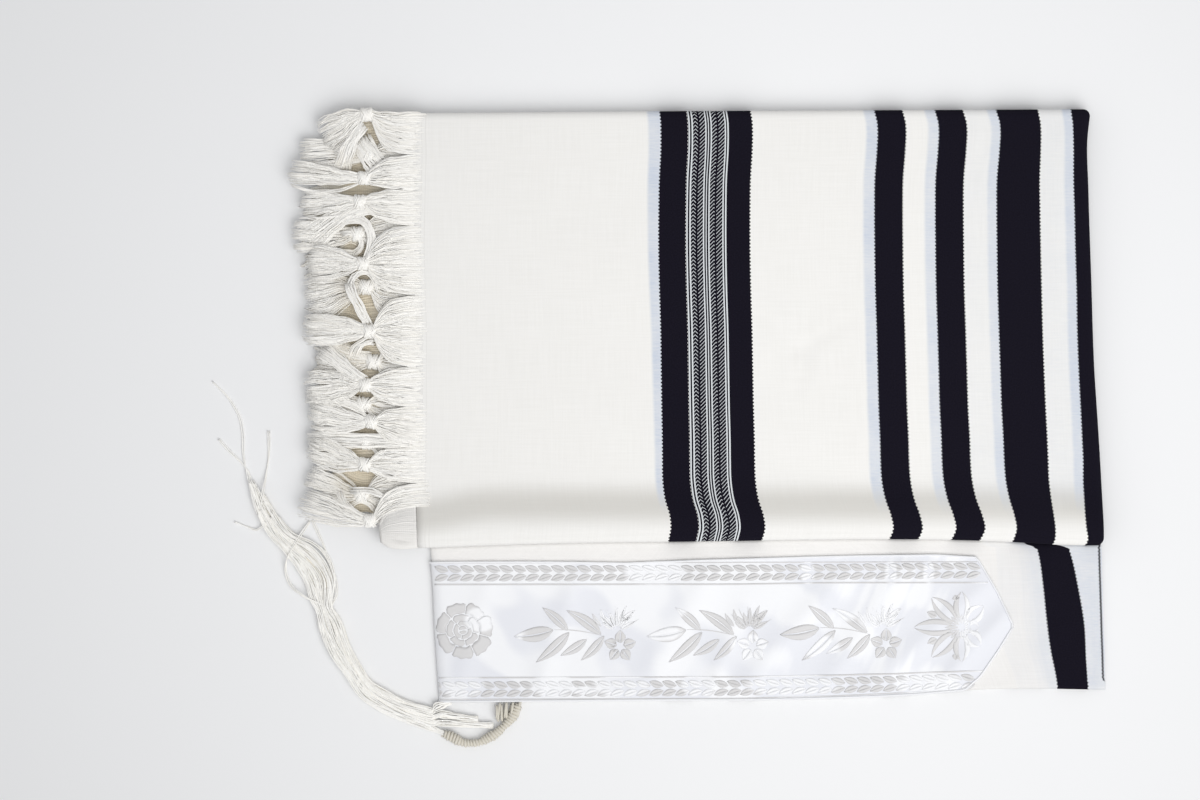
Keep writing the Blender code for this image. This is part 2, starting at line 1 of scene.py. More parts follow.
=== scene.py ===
# %% [markdown]
# # A prayer shawl, folded flat
#
# A tallit is one large piece of fine wool: about two metres by one and a half, with dark woven
# stripes near its ends, a knotted fringe on the two short edges, a satin band where it lies round
# the neck, and a tassel of long strings at each corner.  This one is folded to a quarter of its
# length and about a third of its width, and lies on a table.  The solid model holds the same
# folds with plain faces.  Here every piece is made again as a finer surface, from the same rules,
# and gets its yarns, weave and figure.
#
# The solids come first, because every new piece has to stay where its solid is.

# %% Load the solids
from collections import namedtuple
from math import pi, tau

import bmesh
import bpy
import numpy as np
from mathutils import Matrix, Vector


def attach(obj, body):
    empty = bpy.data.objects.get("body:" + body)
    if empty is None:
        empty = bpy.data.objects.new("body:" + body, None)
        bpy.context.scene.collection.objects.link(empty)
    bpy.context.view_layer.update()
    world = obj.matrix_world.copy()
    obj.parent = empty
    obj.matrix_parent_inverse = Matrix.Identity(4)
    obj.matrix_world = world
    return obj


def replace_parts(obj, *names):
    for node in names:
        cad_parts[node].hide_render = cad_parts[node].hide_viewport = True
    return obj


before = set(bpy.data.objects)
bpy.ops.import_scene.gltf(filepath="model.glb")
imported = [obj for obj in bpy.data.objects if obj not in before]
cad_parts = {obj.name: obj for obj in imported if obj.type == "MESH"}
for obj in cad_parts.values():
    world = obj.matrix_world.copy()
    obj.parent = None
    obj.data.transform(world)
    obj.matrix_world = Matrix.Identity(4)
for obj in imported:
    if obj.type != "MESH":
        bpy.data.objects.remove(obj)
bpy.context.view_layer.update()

print("nodes:", ", ".join(sorted(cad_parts)))

# %% [markdown]
# ## The stack's plan
#
# The folded cloth has two levels.  The outer quarters make a block at the back, and the inner
# quarters lie under it and stand out in front as a low flap.  Both are worked out on a plan with
# straight sides, in millimetres, and the lines below then bend that plan to the uneven folds of
# real cloth.  One rule for both levels keeps all their pieces together wherever they meet.

# %% Sizes and lines of the folded stack
# Every size is in mm, and MM turns it into metres
MM = 0.001
WALL = 1.2
SEAM_GAP = 0.3
BLOCK_HEIGHT = 19.0
FLAP_HEIGHT = 6.2
FLAP_FRONT_HEIGHT = 4.4
FOLD_REACH = 6.0
BLOCK_FOLD_RADIUS = 4.6
FLAP_FOLD_RADIUS = 2.4
ROLL_HEIGHT = 6.4
# The roll's section: place across it, and share of its height there
ROLL = [
    (-86, 0.66), (-80, 0.92), (-75, 1), (-69, 0.95), (-62, 0.74), (-52, 0.33), (-44, 0.11),
    (-36, 0.01), (-33, 0),
]

# The folds and edges: (y, x) for the lines that run up the stack, (x, y) for those along it
RIGHT_FOLD = [
    (-206, 336), (-150, 334.6), (-87, 332.8), (-39, 331.3), (0, 329),
    (44, 326.1), (111, 323.8), (179, 321.6), (216, 320.9), (238, 323.4),
]
FRINGE_EDGE = [(-90, -180.2), (-75, -180.9), (80, -182.6), (238, -184.7)]
MIDDLE_FOLD = [(-206, -163.7), (-150, -167.2), (-99, -170.4), (-88, -172), (238, -174)]
TOP_FOLD = [(-185, 236.4), (30, 238), (255, 239), (336, 239.4)]
BOTTOM_FOLD = [
    (-185, -89.6), (-82, -86), (8, -84.7), (255, -84.7), (300, -87.2), (336, -87.4),
]
NECK_EDGE = [
    (-170, -206), (-20, -204.8), (106, -203.6), (188, -200.2), (230, -196.6), (336, -196.4),
]

print("places measured along the right fold:", len(RIGHT_FOLD))

# %% [markdown]
# ## From plan to cloth
#
# Each level of the stack is a rectangle on the plan, with one of those lines for each side.  A
# place moves as the two lines beside it say, in proportion to where it lies between them.

# %% From plan to cloth
Stack = namedtuple("Stack", "left right bottom top left_line right_line")
BLOCK = Stack(-182, 327, -86, 238, FRINGE_EDGE, RIGHT_FOLD)
FLAP = Stack(-168, 327, -202, 238, MIDDLE_FOLD, RIGHT_FOLD)
BLOCK_FLAT = (-176, 321, -80, 232)
FLAP_FLAT = (-162, 321, -196, 232)


def curve(table, at):
    """A smooth line through a table's rows.

    Between two rows it is a cubic, and its slope at a row is worked out from the rows beside it.
    """
    place, value = np.array(table, float).T
    slope = np.gradient(value, place)
    at = np.clip(np.asarray(at, float), place[0], place[-1])
    row = np.clip(np.searchsorted(place, at, side="right") - 1, 0, len(place) - 2)
    step = place[row + 1] - place[row]
    t = (at - place[row]) / step
    start = (1 + 2 * t) * (1 - t) ** 2 * value[row] + t * (1 - t) ** 2 * step * slope[row]
    end = t**2 * (3 - 2 * t) * value[row + 1] - t**2 * (1 - t) * step * slope[row + 1]
    return start + end


def settle(x, y, stack):
    """Plan to cloth: each side's distance from its straight line, blended across the stack."""
    across = (x - stack.left) / (stack.right - stack.left)
    left = curve(stack.left_line, y) - stack.left
    right = curve(stack.right_line, y) - stack.right
    neck = curve(NECK_EDGE, x) - FLAP.bottom
    fold = curve(BOTTOM_FOLD, x) - BLOCK.bottom
    top = curve(TOP_FOLD, x) - BLOCK.top
    up_flap = (y - FLAP.bottom) / (BLOCK.bottom - FLAP.bottom)
    up_block = (y - BLOCK.bottom) / (BLOCK.top - BLOCK.bottom)
    on_flap = neck + up_flap * (fold - neck)
    on_block = fold + up_block * (top - fold)
    return x + left + across * (right - left), y + np.where(y < BLOCK.bottom, on_flap, on_block)


def unsettle(x, y, stack):
    """Cloth to plan: the rule above run backwards, in four steps of correction."""
    u, v = np.array(x, float), np.array(y, float)
    for _ in range(4):
        at_x, at_y = settle(u, v, stack)
        u, v = u + x - at_x, v + y - at_y
    return u, v


print("block plan", BLOCK.right - BLOCK.left, "x", BLOCK.top - BLOCK.bottom, "mm")

# %% [markdown]
# ## How high the cloth lies
#
# Height is a rule of the plan too: a level stack, a soft roll along the bottom fold where the
# cloth was smoothed down, and a few creases.  A crease is a line with a soft trough or ridge
# beside it.  Its height falls off as a bell curve across the line, and fades past both ends.

# %% Heights and creases
Crease = namedtuple("Crease", "x0 y0 x1 y1 width height")


def rows_of(kind, rows):
    """A table: each row of plain numbers gets the column names of its kind."""
    return [kind(*row) for row in rows]


BLOCK_CREASES = rows_of(Crease, [
    (84, 78, 106, 58, 5, -0.7), (96, 84, 118, 62, 4, 0.5), (106, 58, 132, 72, 5, -0.5),
    (112, 52, 104, 30, 6, -0.5), (138, 64, 150, 40, 7, 0.5), (-150, 190, -40, 120, 26, 0.5),
    (-120, 30, 60, -10, 22, 0.5), (-60, 160, 60, 205, 24, -0.5), (170, 150, 158, 20, 16, 0.6),
    (210, -20, 214, 120, 14, -0.5), (262, -30, 300, -58, 9, 0.9), (70, -20, 150, -44, 14, -0.6),
    (296, 40, 302, 170, 9, 0.5),
])
FLAP_CREASES = rows_of(Crease, [
    (250, -110, 330, -186, 9, 0.5), (318, -95, 322, -180, 5, -0.4), (262, -196, 300, -150, 8, 0.4),
])


def creases(x, y, table):
    """Sum of the creases: height * exp(-(distance across / width)^2), faded past both ends."""
    x, y = np.broadcast_arrays(x, y)
    x0, y0, x1, y1, width, height = np.array(table, float).T.reshape(6, -1, *[1] * x.ndim)
    long = np.hypot(x1 - x0, y1 - y0)
    along = ((x - x0) * (x1 - x0) + (y - y0) * (y1 - y0)) / long
    across = ((x - x0) * (y1 - y0) - (y - y0) * (x1 - x0)) / long
    beyond = np.maximum(np.maximum(-along, along - long), 0)
    fade = np.exp(-((beyond / (2.5 * width)) ** 2))
    return (height * np.exp(-((across / width) ** 2)) * fade).sum(axis=0)


def block_height(x, y):
    """Top of the block: level, a roll by the bottom fold, a long wave, and creases.

    The roll swells a little along its length, one wide trough slants across the middle, and the
    cloth dips by half a millimetre just before the fold.
    """
    roll = curve(ROLL, y)
    along = 0.93 + 0.07 * np.cos((x - 90) / 120)
    trough = np.exp(-(((x - 0.55 * y - 70) / 16) ** 2) - ((y - 60) / 46) ** 2)
    lift = 0.5 * np.sin(x / 95) * np.cos(y / 80)
    lip = -0.5 / (1 + np.exp((y - BLOCK.bottom - 7.0) / 0.7))
    level = BLOCK_HEIGHT + ROLL_HEIGHT * roll * along - 0.5 * trough + lift + lip
    return level + creases(x, y, BLOCK_CREASES)


def flap_height(x, y):
    """Top of the flap: it sinks from the block towards the neck edge, with slight waves."""
    front = np.clip((BLOCK.bottom - y) / (BLOCK.bottom - FLAP.bottom), 0, 1)
    wave = 0.22 * np.sin(x / 48) * np.sin(pi * front)
    level = FLAP_HEIGHT + (FLAP_FRONT_HEIGHT - FLAP_HEIGHT) * front + wave
    return level + creases(x, y, FLAP_CREASES)


print("block", round(float(block_height(0, 100)), 1), "mm high, flap",
      round(float(flap_height(0, -150)), 1), "mm")

# %% [markdown]
# ## Sheets that go round folds
#
# A sheet is a grid.  Its flat part follows the height rule, and each further row or column is one
# more step round a fold, whose section is a quarter of an ellipse and a little more.  The same
# table of steps gives the length along the cloth, so the weave and the stripes run round the fold
# without stretching: that length goes into the UV map, in metres.

# %% Steps round a fold
def fold_profile(turns, radius, depth=0.0):
    """Section round a fold for each turn in degrees: how far out, and how far below the top."""
    turn = np.radians(np.concatenate([[0], turns]))
    out = (FOLD_REACH - depth) * np.sin(turn)
    drop = depth + (radius - depth) * (1 - np.cos(turn))
    return out, drop


def corner_way(step_u, step_v):
    """Where two folds meet: the larger of the two steps, and the way out that they give.

    The ratio of the steps turns the way, from straight out at a side to 45 degrees at a corner.
    """
    larger = np.maximum(abs(step_u), abs(step_v))
    turn = np.minimum(abs(step_u), abs(step_v)) / np.maximum(larger, 1) * pi / 4
    heading = np.where(abs(step_u) >= abs(step_v), turn, pi / 2 - turn)
    return larger, np.sign(step_u) * np.cos(heading), np.sign(step_v) * np.sin(heading)


def placed(stack, height, profile, u, step_u, v, step_v):
    """Points of a sheet: u and v on the flat top, carried out and down by steps round folds."""
    u, step_u, v, step_v = np.broadcast_arrays(u, step_u, v, step_v)
    larger, way_u, way_v = corner_way(step_u, step_v)
    out, drop = (values[larger.astype(int)] for values in profile)
    plan = settle(u + way_u * out, v + way_v * out, stack)
    return np.stack([*plan, height(u, v) - drop], axis=-1)


def length_along(points):
    """Distance from a path's first point to each of its points, for one path or many at once."""
    steps = np.linalg.norm(np.diff(points, axis=-2), axis=-1)
    return np.concatenate([0 * steps[..., :1], np.cumsum(steps, axis=-1)], axis=-1)


def unfolded(stack, profile, u, step_u, v, step_v):
    """Place on the flat cloth, in mm: the settled plan, plus the arc length round each fold."""
    u, step_u, v, step_v = np.broadcast_arrays(u, step_u, v, step_v)
    arc = length_along(np.column_stack(profile))
    along, across = settle(u, v, stack)
    along = along + np.sign(step_u) * arc[abs(step_u).astype(int)]
    return along, across + np.sign(step_v) * arc[abs(step_v).astype(int)]


def steps_of(first, flat, last, count):
    """Places with their steps: `count` folded rows before the flat ones, after them, or both."""
    before = [(flat[0], -step) for step in range(count, 0, -1)] if first else []
    after = [(flat[-1], step) for step in range(1, count + 1)] if last else []
    return np.array(before + [(place, 0) for place in flat] + after, float).T


def grid_of(columns, rows):
    """Columns and rows, each with their steps, as two pairs that broadcast to a grid."""
    (u, step_u), (v, step_v) = columns, rows
    return u[None, :], step_u[None, :], v[:, None], step_v[:, None]


print("a fold of 3 steps:", steps_of(False, [0, 10], True, 3).tolist())

# %% [markdown]
# ## From a grid to cloth
#
# Woven wool is an even sheet about a millimetre thick.  A plane could be cut and bent by hand, but
# a grid whose points are already in place only needs faces between neighbours.  Whole arrays go
# into the mesh at once, which is far quicker than a loop, and Solidify gives the sheet its wall.

# %% A grid as cloth
def cells(rows, columns):
    """The four corners of each cell of a grid of points, as rows of indices."""
    index = np.arange(rows * columns).reshape(rows, columns)
    corners = [index[:-1, :-1], index[:-1, 1:], index[1:, 1:], index[1:, :-1]]
    return np.stack(corners, axis=-1).reshape(-1, 4)


def new_piece(name, points, faces, uv, material, tone=None):
    """A mesh object from whole arrays: points in mm, faces of four corners, uv for each corner."""
    mesh = bpy.data.meshes.new(name)
    mesh.vertices.add(len(points))
    mesh.vertices.foreach_set("co", (points * MM).astype(np.float32).ravel())
    mesh.loops.add(faces.size)
    mesh.loops.foreach_set("vertex_index", faces.astype(np.int32).ravel())
    mesh.polygons.add(len(faces))
    mesh.polygons.foreach_set("loop_start", np.arange(0, faces.size, 4, dtype=np.int32))
    layer = mesh.uv_layers.new(name="UVMap")
    layer.uv.foreach_set("vector", uv.astype(np.float32).ravel())
    if tone is not None:
        mesh.attributes.new("tone", "FLOAT", "POINT")
        mesh.attributes["tone"].data.foreach_set("value", tone.astype(np.float32).ravel())
    mesh.update(calc_edges=True)
    mesh.validate()
    mesh.shade_smooth()
    mesh.materials.append(material)
    made = bpy.data.objects.new(name, mesh)
    bpy.context.scene.collection.objects.link(made)
    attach(made, "root")
    return made


def new_sheet(name, points, uv, material, wall=WALL):
    """A grid of points as cloth: one face a cell, and a wall below made by Solidify."""
    rows, columns, _ = points.shape
    faces = cells(rows, columns)
    flat = points.reshape(-1, 3)
    a, b, c, d = (flat[faces[:, k]] for k in range(4))
    if np.cross(c - a, d - b)[:, 2].sum() < 0:
        faces = faces[:, ::-1]
    made = new_piece(name, flat, faces, uv.reshape(-1, 2)[faces] * MM, material)
    solid = made.modifiers.new("Wall", "SOLIDIFY")
    solid.thickness = wall * MM
    solid.offset = -1
    solid.use_even_offset = False
    print(name, len(faces), "faces")
    return made


print("a grid of 3 by 4 points has", len(cells(3, 4)), "faces")

# %% [markdown]
# ## Writing materials as sums
#
# Most of the finishes below are patterns on the cloth's own length and width: stripes, threads,
# hatching.  Written as nodes they would be long lists, so a small class lets a shader value be
# added, multiplied and compared like a number, and makes the Math nodes by itself.

# %% A shader value that works like a number
class Term:
    """One output in a material, with the arithmetic that makes Math nodes."""

    def __init__(self, tree, socket):
        self.tree, self.socket = tree, socket

    def math(self, kind, *others):
        """A Math node of one kind, fed with this value and the others."""
        node = self.tree.nodes.new("ShaderNodeMath")
        node.operation = kind
        for socket, value in zip(node.inputs, (self, *others)):
            feed(self.tree, socket, value)
        return Term(self.tree, node.outputs[0])

    def __add__(self, other):
        return self.math("ADD", other)

    def __sub__(self, other):
        return self.math("SUBTRACT", other)

    def __mul__(self, other):
        return self.math("MULTIPLY", other)

    def __truediv__(self, other):
        return self.math("DIVIDE", other)

    def __lt__(self, other):
        return self.math("LESS_THAN", other)

    def __gt__(self, other):
        return self.math("GREATER_THAN", other)

    def sine(self):
        """The sine of the value, in radians."""
        return self.math("SINE")

    def share(self):
        """The part after the decimal point: 0 to 1, again and again."""
        return self.math("FRACT")

    def size(self):
        """The value without its sign."""
        return self.math("ABSOLUTE")

    def smooth(self, low, high):
        """0 below low, 1 above high, and a soft S-shaped step between."""
        node = self.tree.nodes.new("ShaderNodeMapRange")
        node.interpolation_type = "SMOOTHSTEP"
        feed(self.tree, node.inputs[0], self)
        node.inputs[1].default_value = low
        node.inputs[2].default_value = high
        return Term(self.tree, node.outputs[0])


def feed(tree, socket, value):
    """Links a Term to a socket, or sets the socket to a plain number or colour."""
    if isinstance(value, Term):
        tree.links.new(value.socket, socket)
    else:
        socket.default_value = value


print("a Term can also give:", ", ".join(name for name in vars(Term) if name[0] != "_"))

# %% [markdown]
# ## Bands, mixes and noise
#
# A woven pattern needs few things: a band from here to there, a mix of two colours, steps of
# colour across a stripe, and the unevenness of real yarn.  Each can be wired by hand in the shader
# editor.  As functions they serve every finish below.

# %% Bands, mixes and noise
def between(term, low, high, soft):
    """1 where the term lies from low to high, with soft edges."""
    return term.smooth(low - soft, low + soft) - term.smooth(high - soft, high + soft)


def blend(tree, share, first, second):
    """A colour between two others."""
    node = tree.nodes.new("ShaderNodeMix")
    node.data_type = "RGBA"
    for place, value in ((0, share), (6, first), (7, second)):
        feed(tree, node.inputs[place], value)
    return Term(tree, node.outputs[2])


def noise(tree, x, y, detail=2.0):
    """Soft random values, 0 to 1, over a plane of two Terms."""
    joined = tree.nodes.new("ShaderNodeCombineXYZ")
    feed(tree, joined.inputs[0], x)
    feed(tree, joined.inputs[1], y)
    node = tree.nodes.new("ShaderNodeTexNoise")
    node.inputs["Scale"].default_value = 1.0
    node.inputs["Detail"].default_value = detail
    tree.links.new(joined.outputs[0], node.inputs["Vector"])
    return Term(tree, node.outputs[0])


def bands(tree, at, rows):
    """Steps of colour along a Term that runs from 0 to 1: rows are (start, colour)."""
    node = tree.nodes.new("ShaderNodeValToRGB")
    ramp = node.color_ramp
    ramp.interpolation = "CONSTANT"
    ramp.elements.remove(ramp.elements[1])
    ramp.elements[0].position = 0
    ramp.elements[0].color = (0, 0, 0, 1)
    for start, colour in rows:
        ramp.elements.new(start).color = (*colour, 1)
    feed(tree, node.inputs[0], at)
    return Term(tree, node.outputs[0])


def parts_of(tree, colour):
    """The red, green and blue of a colour, as three Terms."""
    node = tree.nodes.new("ShaderNodeSeparateColor")
    tree.links.new(colour.socket, node.inputs[0])
    return [Term(tree, socket) for socket in node.outputs[:3]]


def axes_of(tree, socket):
    """The three numbers of a vector socket, as Terms."""
    split = tree.nodes.new("ShaderNodeSeparateXYZ")
    tree.links.new(socket, split.inputs[0])
    return [Term(tree, output) for output in split.outputs[:3]]


def own_tone(tree):
    """The number called "tone" that a mesh carries for each of its points."""
    node = tree.nodes.new("ShaderNodeAttribute")
    node.attribute_name = "tone"
    return Term(tree, node.outputs["Fac"])


print("helpers:", ", ".join(made.__name__ for made in (between, blend, noise, bands)))

# %% [markdown]
# ## What all finishes share
#
# Wool, satin and yarn differ in colour, gloss and relief, but each is a pattern on the cloth's own
# length and width.  So every material starts from the UV map in millimetres, and ends with one
# colour and one fine relief on the same shader.

# %% The start and the end of a finish
MM_PER_METRE = 1000


def new_finish(name, roughness, specular, sheen=0.0):
    """A material with its fixed numbers set, its tree, and its length and width in mm."""
    material = bpy.data.materials.new(name)
    material.use_nodes = True
    tree = material.node_tree
    shader = tree.nodes["Principled BSDF"]
    shader.inputs["Roughness"].default_value = roughness
    shader.inputs["Specular IOR Level"].default_value = specular
    shader.inputs["Sheen Weight"].default_value = sheen
    source = tree.nodes.new("ShaderNodeUVMap")
    source.uv_map = "UVMap"
    along, across = (part * MM_PER_METRE for part in axes_of(tree, source.outputs[0])[:2])
    return material, tree, along, across


def finish_with(tree, colour, height, depth):
    """Joins the colour, and a relief of height 0 to 1 times depth in mm, to the shader."""
    shader = tree.nodes["Principled BSDF"]
    tree.links.new(colour.socket, shader.inputs["Base Color"])
    bump = tree.nodes.new("ShaderNodeBump")
    bump.inputs["Distance"].default_value = depth * MM
    tree.links.new(height.socket, bump.inputs["Height"])
    tree.links.new(bump.outputs[0], shader.inputs["Normal"])


print("the UV map is read in mm:", MM_PER_METRE, "to a metre")

# %% [markdown]
# ## Stripes and pattern of the wool
#
# The dark stripes are woven in, and follow one another in the order of the loom, so a table of
# where each one starts and ends says it all.  Their edges are toothed, since each crossing thread
# ends them a little sooner or later.  The widest stripe carries a fine pattern of lines, chevrons
# and hatching.  Beside a stripe the next layer's stripe shines through the thin cloth as a pale
# blue band, so those bands get a table too.

# %% Stripes and pattern of the wool
# Two colours each: the cloth's paler and darker threads
WOOL = [(0.872, 0.863, 0.843, 1), (0.838, 0.829, 0.806, 1)]
THIN_WOOL = [(0.862, 0.850, 0.838, 1), (0.826, 0.814, 0.800, 1)]
DARK_WOOL = [(0.0062, 0.0052, 0.0105, 1), (0.0105, 0.0092, 0.017, 1)]
PALE_LINE = (0.70, 0.73, 0.75, 1)
SHINE_THROUGH = (0.58, 0.63, 0.72, 1)
HOLLOW_COLOUR, HOLLOW_SHADE = (0.5, 0.48, 0.43, 1), 0.46
HEM_COLOUR, HEM_SHADE, HEM_HALF = (0.66, 0.65, 0.62, 1), 0.35, 0.25
HEM_LINES = [5.3, 8.3]
TOOTH, TOOTH_PITCH = 0.7, 2.7
STRIPE_SOFT, BAND_SOFT = 0.12, 1.5
THREAD = 0.62
# Each stripe of the top panel: start and end, in mm from the fringe
STRIPES = [
    (184, 204.4), (232.3, 252.5), (345.6, 366.9), (391.2, 412.4), (437.2, 470), (495.8, 560)
]
# Bands that shine through: start, end (under the next stripe), strength, and how far the band
# leans for each mm across
Band = namedtuple("Band", "start end strength lean")
SHOWN_UNDER = rows_of(Band, [
    (177.9, 188.5, 0.85, 0.0155), (337, 347.6, 0.8, 0), (383, 393.5, 0.7, 0),
    (412, 439.8, 0.16, 0), (430, 439.8, 0.7, 0), (470, 498.3, 0.22, 0), (488.5, 498.3, 0.8, 0),
])
BAND_FADE = 26
# The pattern inside the first stripe: width in mm and kind, from the start of the block
PATTERN_START = 204.0
PATTERN = [
    (0.3, "dark"), (1.05, "line"), (1.3, "dark"), (1.0, "line"), (3.7, "chevron"), (1.3, "dark"),
    (4.1, "hatch"), (1.05, "line"), (1.0, "dark"), (0.75, "line"), (1.25, "dark"), (1.0, "line"),
    (3.75, "chevron"), (1.1, "dark"), (4.6, "hatch"), (1.05, "line"), (1.0, "dark"),
    (1.05, "line"), (0.65, "dark"),
]
KINDS = {"line": (1, 0, 0), "chevron": (0, 1, 0), "hatch": (0, 0, 1), "dark": (0, 0, 0)}
HATCH_PITCH, HATCH_PALE = 2.8, 0.19
# Middle of the first chevron column from the pattern's start, and how far the next one is
CHEVRON_AT, CHEVRON_APART = 5.5, 15.5

print("stripes:", len(STRIPES), "bands, first pattern",
      round(sum(width for width, _ in PATTERN), 1), "mm wide")

# %% [markdown]
# ## The wool's finish
#
# The cloth is a fine plain weave.  Its colour isn't even: a thread is thicker or thinner for a few
# centimetres, so noise is stretched along both directions of the weave.  Over it lie the shade
# behind the roll and the blue bands of the layer below.

# %% The wool's finish
WOOL_ROUGHNESS, WOOL_GLOSS, WEAVE_DEPTH = 0.92, 0.08, 0.07
# The shade behind the roll: where it lies across, how soft it is, and how far it drops, over which
# length, towards the fringe
HOLLOW = (-68.0, -45.0, 9.0)
HOLLOW_DROP, HOLLOW_DROP_ALONG = 10.0, (-10, 60)


def threads(tree, along, across):
    """Two sets of crossing threads: their relief, and how much each is paler or darker."""
    over = (along * (tau / THREAD)).sine() * (across * (tau / THREAD)).sine()
    lengthwise = noise(tree, along * 0.03, across * 0.9, 3.0)
    crosswise = noise(tree, along * 0.9, across * 0.03, 3.0)
    uneven = lengthwise + crosswise
    relief = over * 0.25 + uneven * 0.6
    return relief, uneven


def shone_through(tree, along, across, colour, shown_under, fade_below):
    """The next layer's stripes in pale blue: each band's share, times noise along the threads."""
    patchy = noise(tree, along * 0.05, across * 0.03) * 0.9 + 0.45
    patchy = patchy * (noise(tree, along * 0.12, across * 0.9, 3.0) * 1.1 + 0.45)
    fade = across.smooth(fade_below, fade_below + BAND_FADE)
    for row in shown_under:
        band = between(along + across * row.lean, row.start, row.end, BAND_SOFT) * patchy
        shown = (band * row.strength * fade).math("MINIMUM", 1.0)
        colour = blend(tree, shown, colour, SHINE_THROUGH)
    return colour


print("one thread is", THREAD / 2, "mm wide")

# %% [markdown]
# ## Stripes over the weave
#
# The stripes cover the weave, and a pattern of pale threads covers the first stripe.  Its columns
# are in the table above, and each kind of column gets its rule here.

# %% Stripes over the weave
def with_pattern(tree, along, across, colour, ink):
    """The woven pattern over the first stripe: pale lines, chevrons and hatching on the dark.

    A thread is pale where the fraction of a sum over the pitch is low.  In a hatched column the
    sum is across - along, and in a chevron it is across + the distance from the column's middle.
    """
    total = sum(width for width, _ in PATTERN)
    place, rows = 0.0, []
    for width, kind in PATTERN:
        rows.append((place / total, KINDS[kind]))
        place += width
    inside = (along - PATTERN_START) / total
    line, chevron, hatch = parts_of(tree, bands(tree, inside.math("MAXIMUM", 0.0), rows))
    pairs = (along - PATTERN_START - CHEVRON_AT) / CHEVRON_APART
    mirrored = ((pairs + 0.5).share() - 0.5).size() * CHEVRON_APART
    zigzag = ((across + mirrored) / HATCH_PITCH).share() < HATCH_PALE
    slant = ((across - along) / HATCH_PITCH).share() < HATCH_PALE
    pale = line + chevron * zigzag + hatch * slant
    return blend(tree, (inside > 0) * (inside < 1), colour, blend(tree, pale, ink, PALE_LINE))


def wool(name, pales, stripes, shown_under=(), fade_below=0, top=False):
    """Striped wool: bands of dark along the length, toothed at the edges, over a plain weave.

    top: with the hem lines, the shade behind the roll and the pattern, as on the top panel.
    """
    material, tree, along, across = new_finish(name, WOOL_ROUGHNESS, WOOL_GLOSS)
    relief, uneven = threads(tree, along, across)
    colour = blend(tree, uneven.smooth(0.62, 1.35), *pales)
    if top:
        lower = (along.smooth(*HOLLOW_DROP_ALONG) - 1.0) * HOLLOW_DROP
        shade = between(across - lower, *HOLLOW) * HOLLOW_SHADE
        colour = blend(tree, shade, colour, HOLLOW_COLOUR)
        for line in HEM_LINES:
            hem = between(along, line - HEM_HALF, line + HEM_HALF, 0.3) * HEM_SHADE
            colour = blend(tree, hem, colour, HEM_COLOUR)
    if shown_under:
        colour = shone_through(tree, along, across, colour, shown_under, fade_below)
    edge = along + ((across / TOOTH_PITCH).share() > 0.5) * TOOTH
    dark = between(edge, *stripes[0], STRIPE_SOFT)
    for start, end in stripes[1:]:
        dark = dark + between(edge, start, end, STRIPE_SOFT)
    speckle = noise(tree, along * 1.1, across * 1.1).smooth(0.3, 0.8)
    ink = blend(tree, speckle, *DARK_WOOL)
    colour = blend(tree, dark, colour, ink)
    if top:
        colour = with_pattern(tree, along, across, colour, ink)
    finish_with(tree, colour, relief, WEAVE_DEPTH)
    return material


top_wool = wool("striped_wool", WOOL, STRIPES, SHOWN_UNDER, fade_below=-66, top=True)
print(top_wool.name, "has", len(top_wool.node_tree.nodes), "nodes")

# %% [markdown]
# ## The top panel
#
# The stripes are straight on the loom, but the cloth was pushed a little sideways as it was
# folded, most of all over the roll.  So the UV map isn't the plan: how far the pattern is pushed
# is measured at two stripes, at many heights, and blended between them.

# %% The top panel
# How far the pattern is pushed at each height: at the near stripe, the far one and the fold
Lean = namedtuple("Lean", "y near far fold")
LEANS = rows_of(Lean, [
    (-96, 5.5, 8.5, 5), (-89, 6.4, 10.4, 7), (-82, 7.4, 12.9, 9.2), (-76, 8.6, 15.5, 8.5),
    (-65, 8.1, 13.7, 7.4), (-53.6, 4.9, 9.7, 6.7), (-38.6, 3, 6.5, 5.9), (-23.6, 2.8, 5.2, 5.8),
    (-8.6, 2.7, 4.7, 5.1), (14, 2.3, 3.4, 4), (44, 1.9, 2.4, 2.5), (74, 1.5, 1.4, 1.4),
    (104, 0.6, 0.4, 0.9), (134, 0, 0, 0), (164, 0.1, -0.3, -0.7), (186, 0.5, -0.1, -1.4),
    (209, 1.6, 1.9, -1.5), (224, 1.6, 2.6, -1.9), (231, 1.4, 1.7, -2.4), (236, 0.7, -0.3, -3.5),
    (250, 0, -2, -4.5),
])
NEAR_STRIPE, FAR_STRIPE, FOLD_STRIPE = 0.0, 254.0, 312.0
FRINGE_LINE = -184.2
# Degrees turned at each step round the block's folds
BLOCK_TURNS = np.linspace(0, 140, 13)[1:]
# Fine rows over the roll: up to which height, and how far apart
FINE_TO, FINE_STEP = -36, 1.6


def leaned(x, y):
    """Length along the cloth from the fringe: x less how far the pattern is pushed there."""
    table = np.array(LEANS)
    near, far, fold = (curve(table[:, [0, k]], y) for k in (1, 2, 3))
    share = np.clip((x - NEAR_STRIPE) / (FAR_STRIPE - NEAR_STRIPE), -0.7, 1)
    beyond = np.clip((x - FAR_STRIPE) / (FOLD_STRIPE - FAR_STRIPE), 0, 1.1)
    return x - FRINGE_LINE - near - share * (far - near) - beyond * (fold - far)


